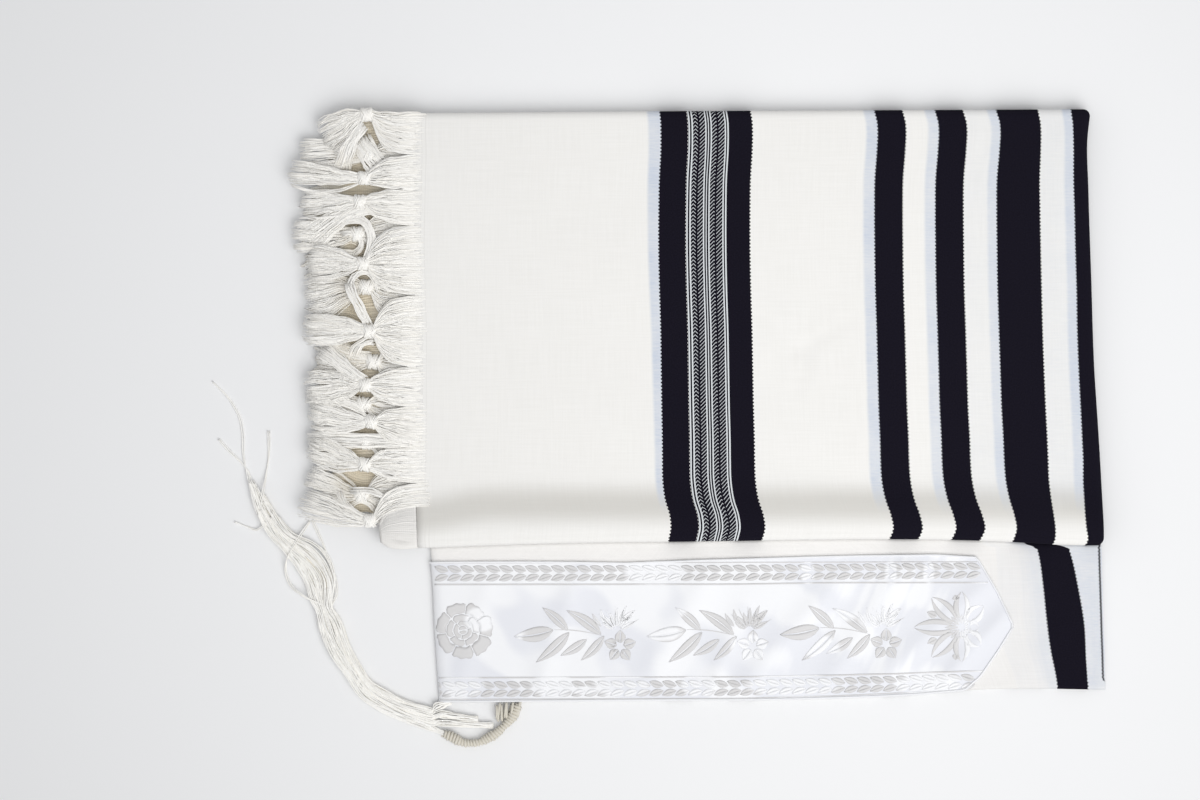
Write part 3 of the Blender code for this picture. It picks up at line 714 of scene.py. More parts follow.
flat_u = np.concatenate([[BLOCK.left], np.linspace(*BLOCK_FLAT[:2], 190)])
over_roll = np.arange(BLOCK_FLAT[2], FINE_TO, FINE_STEP)
flat_v = np.concatenate([over_roll, np.linspace(FINE_TO, BLOCK_FLAT[3], 72)])
block_grid = grid_of(
    steps_of(False, flat_u, True, len(BLOCK_TURNS)),
    steps_of(True, flat_v, True, len(BLOCK_TURNS)),
)
block_profile = fold_profile(BLOCK_TURNS, BLOCK_FOLD_RADIUS)
points = placed(BLOCK, block_height, block_profile, *block_grid)
x, y = unfolded(BLOCK, block_profile, *block_grid)
cloth = np.stack([leaned(x, y), y], axis=-1)
top_panel = new_sheet("striped_top", points, cloth, top_wool)
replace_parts(top_panel, "top_panel")

# %% [markdown]
# ## The flap
#
# The flap is the lower part of the same cloth.  Only one wide stripe shows on it, leaning to the
# right, and a sliver of the next one at the fold.

# %% The flap panel
# Where the stripe starts, as (y, x), and how wide it looks, as (y, width)
STRIPE_ON_FLAP = [
    (-206, 301), (-188.6, 299.1), (-166, 294.6), (-143.6, 291.6), (-121, 289.3), (-98.6, 286.3),
    (-88, 284.1), (-84, 283.6),
]
FLAP_STRIPE_WIDTH = [(-206, 21.6), (-184, 23.8), (-150, 27.6), (-116, 25.6), (-84, 23)]
FLAP_STRIPE, FLAP_STRIPE_FLAT = (100.0, 125.8), 25.4
# Bands beside the stripe in the next layer's blue: partly that layer showing through, partly
# painted shade
FLAP_SHOWN_UNDER_AND_SHADE = rows_of(Band, [
    (66, 101.5, 0.12, 0), (84, 101.5, 0.12, 0), (88.5, 101.5, 0.14, 0), (92, 101.5, 0.2, 0),
    (124.5, 160, 0.62, 0),
])
# The next stripe begins just at the fold, and goes under it lower down: the line is (y, x)
NEXT_STRIPE = (144.0, 145.5)
FOLD_LINE = [(-206, 344), (-193, 343), (-189, 333.6), (-80, 330)]
# Just in front of the stack a third layer shows, with its stripe a little to the left
THIRD_LAYER, THIRD_LAYER_FROM = 9.6, (-89.5, -87.0)
FLAP_TURNS = np.linspace(0, 100, 9)[1:]

flap_wool = wool(
    "flap_wool", THIN_WOOL, [FLAP_STRIPE, NEXT_STRIPE], FLAP_SHOWN_UNDER_AND_SHADE, fade_below=-212
)
flap_grid = grid_of(
    steps_of(True, np.linspace(*FLAP_FLAT[:2], 170), True, len(FLAP_TURNS)),
    steps_of(False, np.linspace(FLAP.bottom, BLOCK.bottom - SEAM_GAP, 46), False, 0),
)
flap_profile = fold_profile(FLAP_TURNS, FLAP_FOLD_RADIUS)
points = placed(FLAP, flap_height, flap_profile, *flap_grid)
x, y = unfolded(FLAP, flap_profile, *flap_grid)
slipped = THIRD_LAYER * np.interp(y, THIRD_LAYER_FROM, [0, 1])
from_stripe = x - curve(STRIPE_ON_FLAP, y) + slipped
along = from_stripe * FLAP_STRIPE_FLAT / curve(FLAP_STRIPE_WIDTH, y) + FLAP_STRIPE[0]
past_line = x - np.interp(y, *np.array(FOLD_LINE).T)
near_fold = np.clip(past_line / 10 + 1.2, 0, 1)
along += near_fold**2 * (3 - 2 * near_fold) * (past_line + NEXT_STRIPE[0] - along)
flap_panel = new_sheet("flap_cloth", points, np.stack([along, y], axis=-1), flap_wool)
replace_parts(flap_panel, "flap_panel")

# %% [markdown]
# ## The layers inside
#
# Between the top panel and the table lie many hidden layers.  They are one closed form, since
# nobody sees between them, but at its sides each pair of layers shows as a rounded lip.  The
# side's section is a row of half circles, one above the other, and each lip stands out a little
# more or less along the way.

# %% The hidden layers
LIP_ROWS = 6
LIP_SWELL = 1.3
Pile = namedtuple("Pile", "stack height turns radius lips_from low lips reach")
BLOCK_PILE = Pile(
    BLOCK, block_height, np.linspace(0, 140, 8)[1:], BLOCK_FOLD_RADIUS, 8.4, 4.2, 3, 5.8
)
FLAP_PILE = Pile(
    FLAP, flap_height, np.linspace(0, 100, 5)[1:], FLAP_FOLD_RADIUS, 3.0, 0.0, 2, 5.7
)
# The waves of a lip's edge: length, and how much each lip is turned on from the one above
LIP_WAVES = [(37, 2.1), (83, 4.7), (19, 1.3)]
SECOND_LAYER_LEAN = 1.6


def layered(pile, u, step_u, v, step_v):
    """Points of a pile: under the covering sheet's fold first, then lips down to the pile's foot.

    In a lip, out = reach + swell * (sqrt(1 - (2t - 1)^2) - 1), a half ellipse, and t runs from
    its top to its bottom.  The reach wanders by a sum of sines of the place along the side.
    """
    u, step_u, v, step_v = np.broadcast_arrays(u, step_u, v, step_v)
    larger, way_u, way_v = corner_way(step_u, step_v)
    top = pile.height(u, v)
    fold_out, fold_drop = fold_profile(pile.turns, pile.radius, WALL + SEAM_GAP)
    folded = np.clip(larger, 0, len(pile.turns)).astype(int)
    down = np.clip(larger - len(pile.turns) - 0.5, 0, pile.lips * LIP_ROWS) / LIP_ROWS
    lip = np.minimum(np.floor(down), pile.lips - 1)
    swell = np.sqrt(np.clip(1 - (2 * (down - lip) - 1) ** 2, 0, 1)) - 1
    wander = sum(np.sin((u - v) / length + turn_by * lip) for length, turn_by in LIP_WAVES)
    reach = pile.reach - 0.25 * (1 + lip % 2) * (1 + wander / 3)
    is_lip = larger > len(pile.turns)
    out = np.where(is_lip, reach + LIP_SWELL * swell, fold_out[folded])
    start = top - pile.lips_from
    z = np.where(is_lip, start - (start - pile.low) * down / pile.lips, top - fold_drop[folded])
    plan = settle(u + way_u * out, v + way_v * out, pile.stack)
    return np.stack([*plan, z], axis=-1)


def new_pile(name, pile, flat, columns, rows, material):
    """A pile as a closed mesh: its grid, and one flat face across the open foot."""
    steps = len(pile.turns) + pile.lips * LIP_ROWS + 1
    grid = grid_of(
        steps_of(True, np.linspace(*flat[:2], columns), True, steps),
        steps_of(True, np.linspace(*flat[2:], rows), True, steps),
    )
    points = layered(pile, *grid)
    x, y = settle(*np.broadcast_arrays(grid[0], grid[2]), pile.stack)
    down = points[len(points) // 2, len(points[0]) // 2, 2] - points[..., 2]
    uv = np.stack([leaned(x, y) + SECOND_LAYER_LEAN, y - down], axis=-1).reshape(-1, 2)
    faces = cells(*points.shape[:2])
    made = new_piece(name, points.reshape(-1, 3), faces, uv[faces] * MM, material)
    shape = bmesh.new()
    shape.from_mesh(made.data)
    bmesh.ops.edgeloop_fill(shape, edges=[edge for edge in shape.edges if edge.is_boundary])
    bmesh.ops.recalc_face_normals(shape, faces=shape.faces)
    shape.to_mesh(made.data)
    shape.free()
    print(name, len(made.data.polygons), "faces")
    return made


layer_wool = wool("layered_wool", WOOL, STRIPES)
block_layers = new_pile("block_layers", BLOCK_PILE, BLOCK_FLAT, 70, 50, layer_wool)
flap_layers = new_pile("flap_layers", FLAP_PILE, FLAP_FLAT, 70, 60, layer_wool)
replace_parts(block_layers, "folded_layers")
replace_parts(flap_layers, "folded_layers")

# %% [markdown]
# ## The neck band
#
# The band is satin, sewn on the flap with a bound edge, and one end is cut to a point.  Its rows
# run from the lower to the upper edge of the band, which the table gives along its length.  It
# lies on the flap, so it uses the flap's height with a lift, and soft slanting waves show where
# the stiff satin doesn't lie quite flat.

# %% The band's shape
BandRow = namedtuple("BandRow", "x low high")
BAND = rows_of(BandRow, [
    (-175, -202, -96.6), (-26, -202, -101), (28, -202, -99.4), (204, -202, -97.2),
    (222, -202, -98), (234, -192, -98.6), (248, -172, -125), (259, -154, -151),
])
BAND_CREASES = rows_of(Crease, [
    (-95, -192, -62, -110, 9, 1.04), (-20, -196, 30, -118, 12, 1.14), (36, -190, 52, -150, 7, 1.1),
    (60, -190, 128, -120, 10, 1.35), (118, -196, 176, -112, 10, 1.2),
    (160, -190, 232, -128, 9, 1.35), (214, -186, 256, -142, 7, 1.2),
    (-150, -180, -128, -110, 9, 0.76),
])
BAND_LIFT = WALL + SEAM_GAP


def satin_waves(x, y):
    """Small lifts of the band: creases, and a fine slanting sine that fades at its edges."""
    fine = np.sin((x + 0.6 * y) / 9.0) * np.sin((x - 0.4 * y) / 31.0)
    fade = np.clip((y + 204) / 14, 0, 1) * np.clip((-98 - y) / 10, 0, 1)
    return (creases(x, y, BAND_CREASES) + 0.22 * (1 + fine)) * fade


def on_band(x, y, lift=0.0):
    """World points at plan places on the band, lifted above it.

    A place left of the flat part lies round the fold: its distance along the satin gives how far
    out and down it is, read from the fold's own section.
    """
    x, y = np.broadcast_arrays(x, y)
    out, drop = fold_profile(FLAP_TURNS, FLAP_FOLD_RADIUS, -BAND_LIFT)
    arc = length_along(np.column_stack([out, drop]))
    past = np.maximum(FLAP_FLAT[0] - x, 0)
    flat_x = np.maximum(x, FLAP_FLAT[0])
    round_x = flat_x - np.interp(past, arc, out)
    z = flap_height(flat_x, y) + satin_waves(flat_x, y) - np.interp(past, arc, drop) + lift
    return np.stack([*settle(round_x, y, FLAP), z], axis=-1)


print("the band lies", round(float(on_band(0, -150)[2]), 1), "mm above the table")

# %% [markdown]
# ## The satin's finish
#
# Satin shines because its threads float over several others, all one way.  The white band has a
# low relief of threads, and its colour carries painted sheen and painted shade: slow patches
# where its sheen turns, and blue-grey streaks where its creases shade.  The figure has the same
# threads turned the other way, so it gets its own two greys, and a tone on the mesh picks
# between them as painted sheen.

# %% The satin's finish
SATIN_GLOSS = 0.4
# The white satin's ground, and the bluer grey of its painted sheen and shade
WHITE_SATIN = [(0.855, 0.862, 0.885, 1), (0.755, 0.767, 0.815, 1)]
FIGURED_SATIN = [(0.675, 0.668, 0.672, 1), (0.90, 0.905, 0.925, 1)]
# Where the white satin's painted sheen and shade change, in mm along it: to its crease streaks,
# and near the point
STREAKS_FROM, POINT_FROM = (20, 190), (215, 240)


def satin(name, greys, roughness, relief_depth, hatch, by_tone=False):
    """Satin: fine threads along the band, and slow patches between two greys of its sheen.

    by_tone: the patches follow the mesh's own tone instead, with a little noise.
    """
    material, tree, along, across = new_finish(name, roughness, SATIN_GLOSS)
    if by_tone:
        fleck = noise(tree, along * 0.16, across * 0.16) - 0.5
        patch = own_tone(tree) * 0.16 + 0.46 + fleck * 0.10
    else:
        # Painted sheen and painted shade: slow patches, blue-grey crease streaks on the right
        # half, greyer towards the lower edge and near the point
        patch = noise(tree, along * 0.022 + across * 0.012, across * 0.02 - along * 0.004, 1.0)
        streak = noise(tree, along * 0.11 - across * 0.05, across * 0.012 + along * 0.01, 1.0)
        streaks = along.smooth(*STREAKS_FROM) * (streak - 0.30)
        patch = patch - (across + 152) * 0.0016 + streaks * 0.42
        patch = patch + along.smooth(*POINT_FROM) * 0.2
    grain = noise(tree, along * 0.5, across * 3.0)
    slant = ((across - along * hatch) / 0.9).share().smooth(0.3, 0.7)
    colour = blend(tree, patch.smooth(0.46, 0.62), *greys)
    finish_with(tree, colour, grain * 0.6 + slant * 0.4, relief_depth)
    return material


satin_white = satin("white_satin", WHITE_SATIN, 0.38, 0.02, 0.0)
satin_figure = satin("figured_satin", FIGURED_SATIN, 0.5, 0.05, 1.0, by_tone=True)
print("finishes:", satin_white.name, "and", satin_figure.name)

# %% [markdown]
# ## The band in place
#
# The band's own grid goes round the left fold with the flap, and ends in the cut point at the
# right.  Its rows are even shares of the way from the lower to the upper edge, so both edges are
# rows of the grid, and the binding can follow them later.

# %% The band in place
band_x, band_low, band_high = np.array(BAND).T
places = np.concatenate([np.linspace(FLAP_FLAT[0], 218, 190), np.linspace(218, 259, 20)[1:]])
u, step_u = (row[None, :] for row in steps_of(True, places, False, len(FLAP_TURNS)))
low, high = np.interp(u, band_x, band_low), np.interp(u, band_x, band_high)
v = low + (high - low) * np.linspace(0, 1, 62)[:, None]
band_profile = fold_profile(FLAP_TURNS, FLAP_FOLD_RADIUS, -BAND_LIFT)
band_points = placed(FLAP, flap_height, band_profile, u, step_u, v, 0)
band_points[..., 2] += satin_waves(*np.broadcast_arrays(u, v))
x, y = unfolded(FLAP, band_profile, u, step_u, v, 0)
band = new_sheet("neck_band", band_points, np.stack([x, y], axis=-1), satin_white)
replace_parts(band, "atara")

# %% [markdown]
# ## Tubes of any path
#
# Piping, yarn, string and winding are all the same shape: a small ring carried along a path.  One
# function makes any number of them at once.  At each point of each path it takes the direction of
# travel, a sideways direction level with the table, and a third one square to both, and sets the
# ring's points on those two.

# %% Tubes
def unit(ways):
    """Directions with their length made one."""
    return ways / np.maximum(np.linalg.norm(ways, axis=-1, keepdims=True), 1e-9)


def tubes(name, lines, radius, sides, material, tone=None, up=(0.0, 0.0, 1.0)):
    """Closed tubes: point = path + radius * (cos(a) * side + sin(a) * rise) at each ring angle.

    lines has the shape (tubes, stations, 3), and radius anything that broadcasts to its first two.
    """
    count, stations, _ = lines.shape
    way = unit(np.gradient(lines, axis=1))
    side = unit(np.cross(way, np.broadcast_to(up, lines.shape)))
    rise = np.cross(side, way)
    angle = np.arange(sides) * tau / sides + pi / sides
    size = np.broadcast_to(radius, (count, stations))[..., None, None]
    ring = np.cos(angle)[:, None] * side[:, :, None] + np.sin(angle)[:, None] * rise[:, :, None]
    points = lines[:, :, None] + size * ring
    index = np.arange(count * stations * sides).reshape(count, stations, sides)
    following = np.roll(index, -1, axis=2)
    walls = np.stack([index[:, :-1], following[:, :-1], following[:, 1:], index[:, 1:]], axis=-1)
    fans = np.array([(0, k, k + 1, k + 2) for k in range(1, sides - 2, 2)])
    starts, ends = index[:, 0][:, fans[:, ::-1]], index[:, -1][:, fans]
    faces = np.concatenate([walls.reshape(-1, 4), starts.reshape(-1, 4), ends.reshape(-1, 4)])
    along = length_along(lines)[:, :, None] + 0 * index
    around = np.arange(sides) / sides + 0 * index
    flat_along, flat_around = along.ravel(), around.ravel()
    uv = np.stack([flat_along[faces] * MM, flat_around[faces]], axis=-1)
    wrap = np.zeros(len(faces), bool)
    wrap[: walls.size // 4] = np.tile(np.arange(sides) == sides - 1, count * (stations - 1))
    uv[wrap, 1:3, 1] = 1.0
    tones = None
    if tone is not None:
        tones = np.broadcast_to(tone[:, None, None], index.shape)
    made = new_piece(name, points.reshape(-1, 3), faces, uv, material, tones)
    print(name, count, "tubes,", len(faces) * 2, "triangles")
    return made


def resampled(path, count):
    """A path with `count` even stations, on a smooth curve through its own points."""
    along = length_along(path)
    at = np.linspace(0, along[-1], count)
    return np.stack([curve(np.column_stack([along, path[:, k]]), at) for k in range(3)], axis=-1)


print("a straight path resampled:", resampled(np.array([[0, 0, 0], [6, 0, 0.0]]), 3)[:, 0])

# %% [markdown]
# ## The band's bound edge
#
# A narrow folded binding runs along both long edges and round the point.  Its path is the band's
# own rim, taken from the grid that made the band.

# %% The binding
PIPING_RADIUS = 0.85
lower_rim, upper_rim, point_rim = band_points[0], band_points[-1], band_points[:, -1]
inset = np.array([0, 0.8, 0.1])
runs = [lower_rim + inset, upper_rim - inset * [1, 1, -1]]
piping = tubes("band_binding", np.stack(runs), PIPING_RADIUS, 6, satin_white)
point = resampled(point_rim, 12)[None] + [[[-0.6, 0, 0.1]]]
point_piping = tubes("band_point_binding", point, PIPING_RADIUS, 6, satin_white)

# %% [markdown]
# ## The figure in the satin
#
# In the real band the figure is woven: the same threads, turned the other way up, so it looks
# grey where the ground shines and shines where the ground is grey.  Here each leaf and petal is a
# thin patch a tenth of a millimetre above the satin, with a finish of its own.  A leaf is two
# halves with a gap between them for its vein.  All are worked out flat, as they are seen from
# above, and then carried on to the band, so they follow its waves and its fold.

# %% Where the figure shines
# Where the figure shines as pale as the ground: middle, and how far along and across
Shine = namedtuple("Shine", "x y along across")
SHINES = rows_of(Shine, [
    (-3.5, -108, 22, 9), (111.5, -108, 5, 9), (174, -108, 4.5, 9), (202.5, -108, 4, 9),
    (-148, -193, 16, 9), (-80, -193, 15, 9), (-28, -193, 20, 9), (-56, -197, 10, 3),
    (30, -193, 13, 9), (100, -193, 33, 9), (205, -193, 26, 9), (-134, -143.6, 12, 9),
    (-108, -155, 6, 6), (-32, -137.6, 16, 14), (0.5, -153.4, 16, 6), (14, -136, 7, 6),
    (68, -164.6, 14, 10), (121.7, -164.6, 14, 9), (137, -138.4, 10, 7), (165, -137.6, 17, 14),
    (252, -150, 26, 42),
])


def shine_at(x, y):
    """1 within a shining patch, falling to 0 from 0.85 to 1.2 of its reach."""
    far = [np.hypot((x - one.x) / one.along, (y - one.y) / one.across) for one in SHINES]
    return np.clip((1.2 - np.min(far, axis=0)) / 0.35, 0, 1)


print("shining places:", len(SHINES))

# %% [markdown]
# ## Leaves and petals
#
# A leaf is two halves with the vein's gap between them, and a petal of the rose is a part of a
# ring with a scalloped rim.  All are small grids on the band's plan, so one rule can lay every one
# of them on the band and join them into one mesh.

# %% Leaves and petals
FIGURE_WALL, FIGURE_LIFT = 0.1, 0.12


def half_leaves(rows, steps=9, cross=4, base=0.8, full=0.9):
    """Plan points of leaves, both halves: (halves, steps, cross, 2).

    At share s of the way from base to tip the half-width is width * sin(pi * s^0.8)^0.9, and the
    spine is bent by bend * sin(pi * s).  Each half starts at the vein's gap.
    """
    x0, y0, x1, y1, width, bend, gap = np.array(rows, float).T[:, :, None, None, None]
    side = np.array([-1.0, 1.0])[None, :, None, None]
    s = np.linspace(0.01, 0.99, steps)[None, None, :, None]
    t = np.linspace(0, 1, cross)[None, None, None, :]
    long = np.hypot(x1 - x0, y1 - y0)
    way_x, way_y = (x1 - x0) / long, (y1 - y0) / long
    half = width / 2 * np.sin(pi * s**base) ** full
    off = bend * np.sin(pi * s) + side * (gap * np.sin(pi * s) ** 0.6 + t * half)
    x = x0 + (x1 - x0) * s - way_y * off
    y = y0 + (y1 - y0) * s + way_x * off
    return np.stack(np.broadcast_arrays(x, y), axis=-1).reshape(-1, steps, cross, 2)


def petals(x, y, rings, gap, steps=5, cross=11):
    """Scalloped petals round a centre, from rows of (first angle, last angle, inner, outer).

    The rim's radius is outer * (1 - 0.1 (2t - 1)^6 + 0.03 cos(5 pi t)), t running round the petal.
    """
    first, last, inner, outer = np.array(rings, float).T[:, :, None, None]
    s = np.linspace(0, 1, steps)[None, :, None]
    t = np.linspace(0, 1, cross)[None, None, :]
    rim = outer * (1 - 0.1 * (2 * t - 1) ** 6 + 0.03 * np.cos(5 * pi * t))
    r = inner * (1 + 0.03 * np.cos(3 * pi * t)) + (rim - inner) * s
    angle = first + gap / 2 / r + (last - first - gap / r) * t
    return np.stack(np.broadcast_arrays(x + r * np.cos(angle), y + r * np.sin(angle)), axis=-1)


def star(x, y, angles, inner, outer, width, gap):
    """Rows for a ring of pointed petals, as leaves from the inner to the outer radius."""
    return [
        (x + inner * np.cos(a), y + inner * np.sin(a), x + long * np.cos(a), y + long * np.sin(a),
         width, 0, gap)
        for a, long in zip(angles, np.broadcast_to(outer, len(angles)))
    ]


def patches(name, plans, material):
    """One mesh from several tables of plan patches, each a little grid on the band."""
    points, faces, tones, start = [], [], [], 0
    for plan in plans:
        count, rows, columns, _ = plan.shape
        tones.append(shine_at(plan[..., 0], plan[..., 1]).ravel())
        on_plan = unsettle(plan[..., 0], plan[..., 1], FLAP)
        placed_here = on_band(*on_plan, FIGURE_LIFT).reshape(-1, 3)
        corners = cells(rows, columns)[None] + np.arange(count)[:, None, None] * rows * columns
        a, b, c, d = (placed_here[corners[..., k]] for k in range(4))
        turned = np.cross(c - a, d - b)[..., 2].sum(axis=1) < 0
        corners[turned] = corners[turned][:, :, ::-1]
        points.append(placed_here)
        faces.append(corners.reshape(-1, 4) + start)
        start += len(placed_here)
    points, faces = np.concatenate(points), np.concatenate(faces)
    uv = points[faces][..., :2] * MM
    made = new_piece(name, points, faces, uv, material, np.concatenate(tones))
    solid = made.modifiers.new("Wall", "SOLIDIFY")
    solid.thickness = FIGURE_WALL * MM
    solid.offset = -1
    print(name, len(faces), "faces")
    return made


print("points of one leaf:", half_leaves([(0, 0, 10, 0, 4, 0, 0.2)]).shape)

# %% [markdown]
# ## Where the figure goes
#
# Two borders run along the band: a chain of leaves in pairs between two thin lines.  Between them
# stand a rose that the fold cuts, three equal sprays with a fan and a star for blossoms, and a
# star flower at the pointed end.  Each spray is one short table, used three times.

# %% Leaves of a spray and a border
Leaf = namedtuple("Leaf", "x0 y0 x1 y1 width bend gap")
SPRAY = rows_of(Leaf, [
    (-13, 0.5, -43, -4.5, 10.5, 1.2, 0.45), (-2, 0, -21.5, 17.5, 6.8, -0.8, 0.4),
    (-1, -1, -26.5, -24, 8, 1.4, 0.4), (23, -3, -3.5, 15.5, 7.8, -1.4, 0.4),
    (12, -6.5, -8, -18.8, 6.4, 1, 0.4), (25, -4, 7.5, -22.5, 6.4, 1.2, 0.4),
    (23, 3, 16, 13, 3, 0.6, 0.2), (26, 5, 22.5, 16, 3, 0.6, 0.2),
    (37, 7, 47.5, 15.5, 4.2, -0.8, 0.3), (-13, 0.8, 26, -4.5, 0.8, 1.6, 0),
])
STAR_IN_SPRAY, FAN_IN_SPRAY = (37, -12), (34.5, -0.5)
SPRAYS_AT = [(-66.3, -151.9), (33.4, -151.8), (133.5, -150.4)]
ROSE_AT = (-147.4, -151.5)
FLOWER_AT = (227.3, -149.4)
CHAIN_PITCH = 9.75
CHAIN_LEAF = (10.8, 5.2, 5.5)
UPPER_CHAIN = [(-170, -108.9), (60, -108.5), (230, -106.8)]
LOWER_CHAIN = [(-170, -196.2), (60, -195), (130, -193.4), (230, -190.4)]
UPPER_LINE = [(-170, -117.2), (60, -117), (130, -115.8), (230, -115.8)]
LOWER_LINE = [(-170, -187.4), (60, -186.6), (130, -185.4), (180, -184.2), (230, -182.4)]


def chain(first, last, middle):
    """Pairs of leaves along a border, apex to the right, about a middle line given as a table."""
    x = np.arange(first, last, CHAIN_PITCH)
    long, rise, width = CHAIN_LEAF
    return [
        (a, y + side * 1.8, a - long, y + side * rise, width, side * 0.35, 0.0)
        for a, y in zip(x, np.interp(x, *np.array(middle).T))
        for side in (-1, 1)
    ]


def stripe(first, last, middle, width):
    """A thin woven line along the band, as one long patch about a middle line given as a table."""
    x = np.linspace(first, last, 160)[:, None]
    y = np.interp(x, *np.array(middle).T) + [[-width / 2, width / 2]]
    return np.stack(np.broadcast_arrays(x, y), axis=-1)[None]


print("one spray has", len(SPRAY), "leaves, at", len(SPRAYS_AT), "places")

# %% [markdown]
# ## The figure, put together
#
# Each blossom is a few rings of pointed petals, so it needs one table of rings.  The rose has
# rings of scalloped petals.  It all becomes one mesh, since on the real band it is one weave.

# %% The figure
Ring = namedtuple("Ring", "at angles inner outer width gap")


def all_round(count, first=0.0):
    """Angles in equal steps all round."""
    return np.arange(count) * tau / count + first


def blossom(x, y, rings):
    """Rows of petals for a table of rings about one place."""
    return [
        petal for ring in rings for petal in star(x + ring.at[0], y + ring.at[1], *ring[1:])
    ]


SPRAY_RINGS = rows_of(Ring, [
    (STAR_IN_SPRAY, all_round(5, 0.3), 2.6, 12.5, 7.6, 0.35),
    (STAR_IN_SPRAY, all_round(10, 0.62), 3.0, 7.0, 0.9, 0.1),
    (FAN_IN_SPRAY, np.linspace(0.5, 2.6, 7), 3.4, (16, 21, 21, 18, 15, 15, 13), 3.3, 0.2),
    (FAN_IN_SPRAY, np.linspace(0.5, 2.4, 6), 8.0, 19, 0.8, 0.05),
])
FLOWER_REACH = np.array((13, 23, 27, 32, 36, 32, 26, 20))
FLOWER_RINGS = rows_of(Ring, [
    ((0, 0), all_round(8), 6.0, FLOWER_REACH, 8.4, 2.4),
    ((0, 0), all_round(8), 2.5, 0.36 * FLOWER_REACH, 2.6, 0.2),
    ((0, 0), all_round(8, tau / 16), 4.0, 0.45 * FLOWER_REACH, 1.2, 0.1),
    ((0, 0), np.radians([101, 156, 205, 259]), 20.5, (25.0, 28.5, 28.5, 25.0), 5.4, 0.0),
])
# The rose's petals: first and last angle, inner and outer radius, and the gap between two
ROSE_RINGS = [
    (-2, -1.1, 12.8, 21.5), (-1.1, -0.25, 13, 23), (-0.25, 0.62, 12.6, 22.6),
    (0.62, 1.45, 12.6, 21), (1.45, 2.35, 12.8, 20.6), (2.35, 3.3, 12.6, 20.5),
    (3.3, 4.28, 12.8, 21),
    (-1.4, -0.2, 7.6, 12.2), (-0.2, 1.1, 7.8, 12.4), (1.1, 2.4, 7.2, 12), (2.4, 3.7, 7.8, 12.2),
    (3.7, 4.88, 7.4, 12.2), (0.3, 2.3, 3.8, 6.9), (2.3, 4.5, 3.8, 7), (4.5, 6.58, 3.8, 6.8),
    (0.2, 3.2, 0.5, 3.2), (3.5, 6.2, 0.5, 3.1),
]
ROSE_GAP = 0.6
# The borders' lines: first and last x, middle line, width
BORDER_LINES = [
    (-170, 239, [(-170, -101.2), (60, -100.6), (230, -100.2)], 0.8),
    (-169, 247, UPPER_LINE, 1.2),
    (-166, 245, LOWER_LINE, 1.2),
    (-165, 227, [(-170, -203.6), (60, -202.8), (130, -201), (222, -197)], 0.8),
]

leaf_rows = []
for at_x, at_y in SPRAYS_AT:
    leaf_rows += [
        (at_x + leaf.x0, at_y + leaf.y0, at_x + leaf.x1, at_y + leaf.y1, *leaf[4:])
        for leaf in SPRAY
    ]
    leaf_rows += blossom(at_x, at_y, SPRAY_RINGS)
leaf_rows += blossom(*FLOWER_AT, FLOWER_RINGS)
chains = chain(-158.2, 249, UPPER_CHAIN) + chain(-162.4, 245, LOWER_CHAIN)
rose = petals(*ROSE_AT, ROSE_RINGS, ROSE_GAP)
lines = [stripe(*row) for row in BORDER_LINES]
figure = patches(
    "satin_figure",
    [half_leaves(leaf_rows), half_leaves(chains, 7, 3, 0.95, 0.78), rose, *lines],
    satin_figure,
)

# %% [markdown]
# ## The fringe
#
# Along the cut edges the last hand's breadth of the cloth has no cross threads, and its loose
# yarns are gathered by the dozen and tied in an overhand knot.  So each tassel has three parts: a
# web of yarns that runs from the cloth's edge and draws in at the knot, the knot itself, and a
# tuft that opens like a brush.  Two rows of tassels lie over each other, with curled locks
# between them, and under all lie the loose ends of the lowest layers.  A yarn is a cubic Bezier
# curve.  Its ends are shared out over the edge, the knot and the tip with some disorder, from one
# seeded generator, so the fringe is the same each time.

# %% Places of tassels and locks
Tassel = namedtuple("Tassel", "root_low root_high knot_x knot_y tip_x tip_y spread")
UPPER_TASSELS = rows_of(Tassel, [
    (205, 237, -219, 235, -251, 216, 36), (179, 205, -221, 187.5, -277.5, 192, 22),
    (152, 179, -224, 170, -268, 168, 22), (100, 152, -222, 123.5, -264, 124, 30),
    (46, 100, -217, 73, -266, 74, 28), (16, 46, -220, 32.5, -265, 31, 28),
    (-14, 16, -215.5, 5, -262, 12, 26), (-41, -14, -220.5, -27, -262, -14, 26),
    (-58, -41, -216.5, -69, -269, -56, 26),
])
LOWER_TASSELS = rows_of(Tassel, [
    (176, 220, -217, 205, -269, 203, 34), (130, 164, -226, 146, -275, 145, 30),
    (76, 116, -219.8, 106, -264, 96, 42), (30, 66, -214, 50, -256, 55, 32),
    (-6, 26, -221.5, 18, -262, 22, 22), (-30, -2, -219, -10, -258, -4, 22),
    (-58, -30, -223, -50, -264, -38, 28),
])
Tier = namedtuple("Tier", "node tassels root_z knot_z tip_z knot_radius knot_long per_mm")
UPPER_TIER = Tier("fringe_upper", UPPER_TASSELS, None, 16.6, 12.4, 4.9, 9.0, 4.6)
LOWER_TIER = Tier("fringe_lower", LOWER_TASSELS, 14.0, 11.0, 9.0, 5.8, 11.0, 3.6)
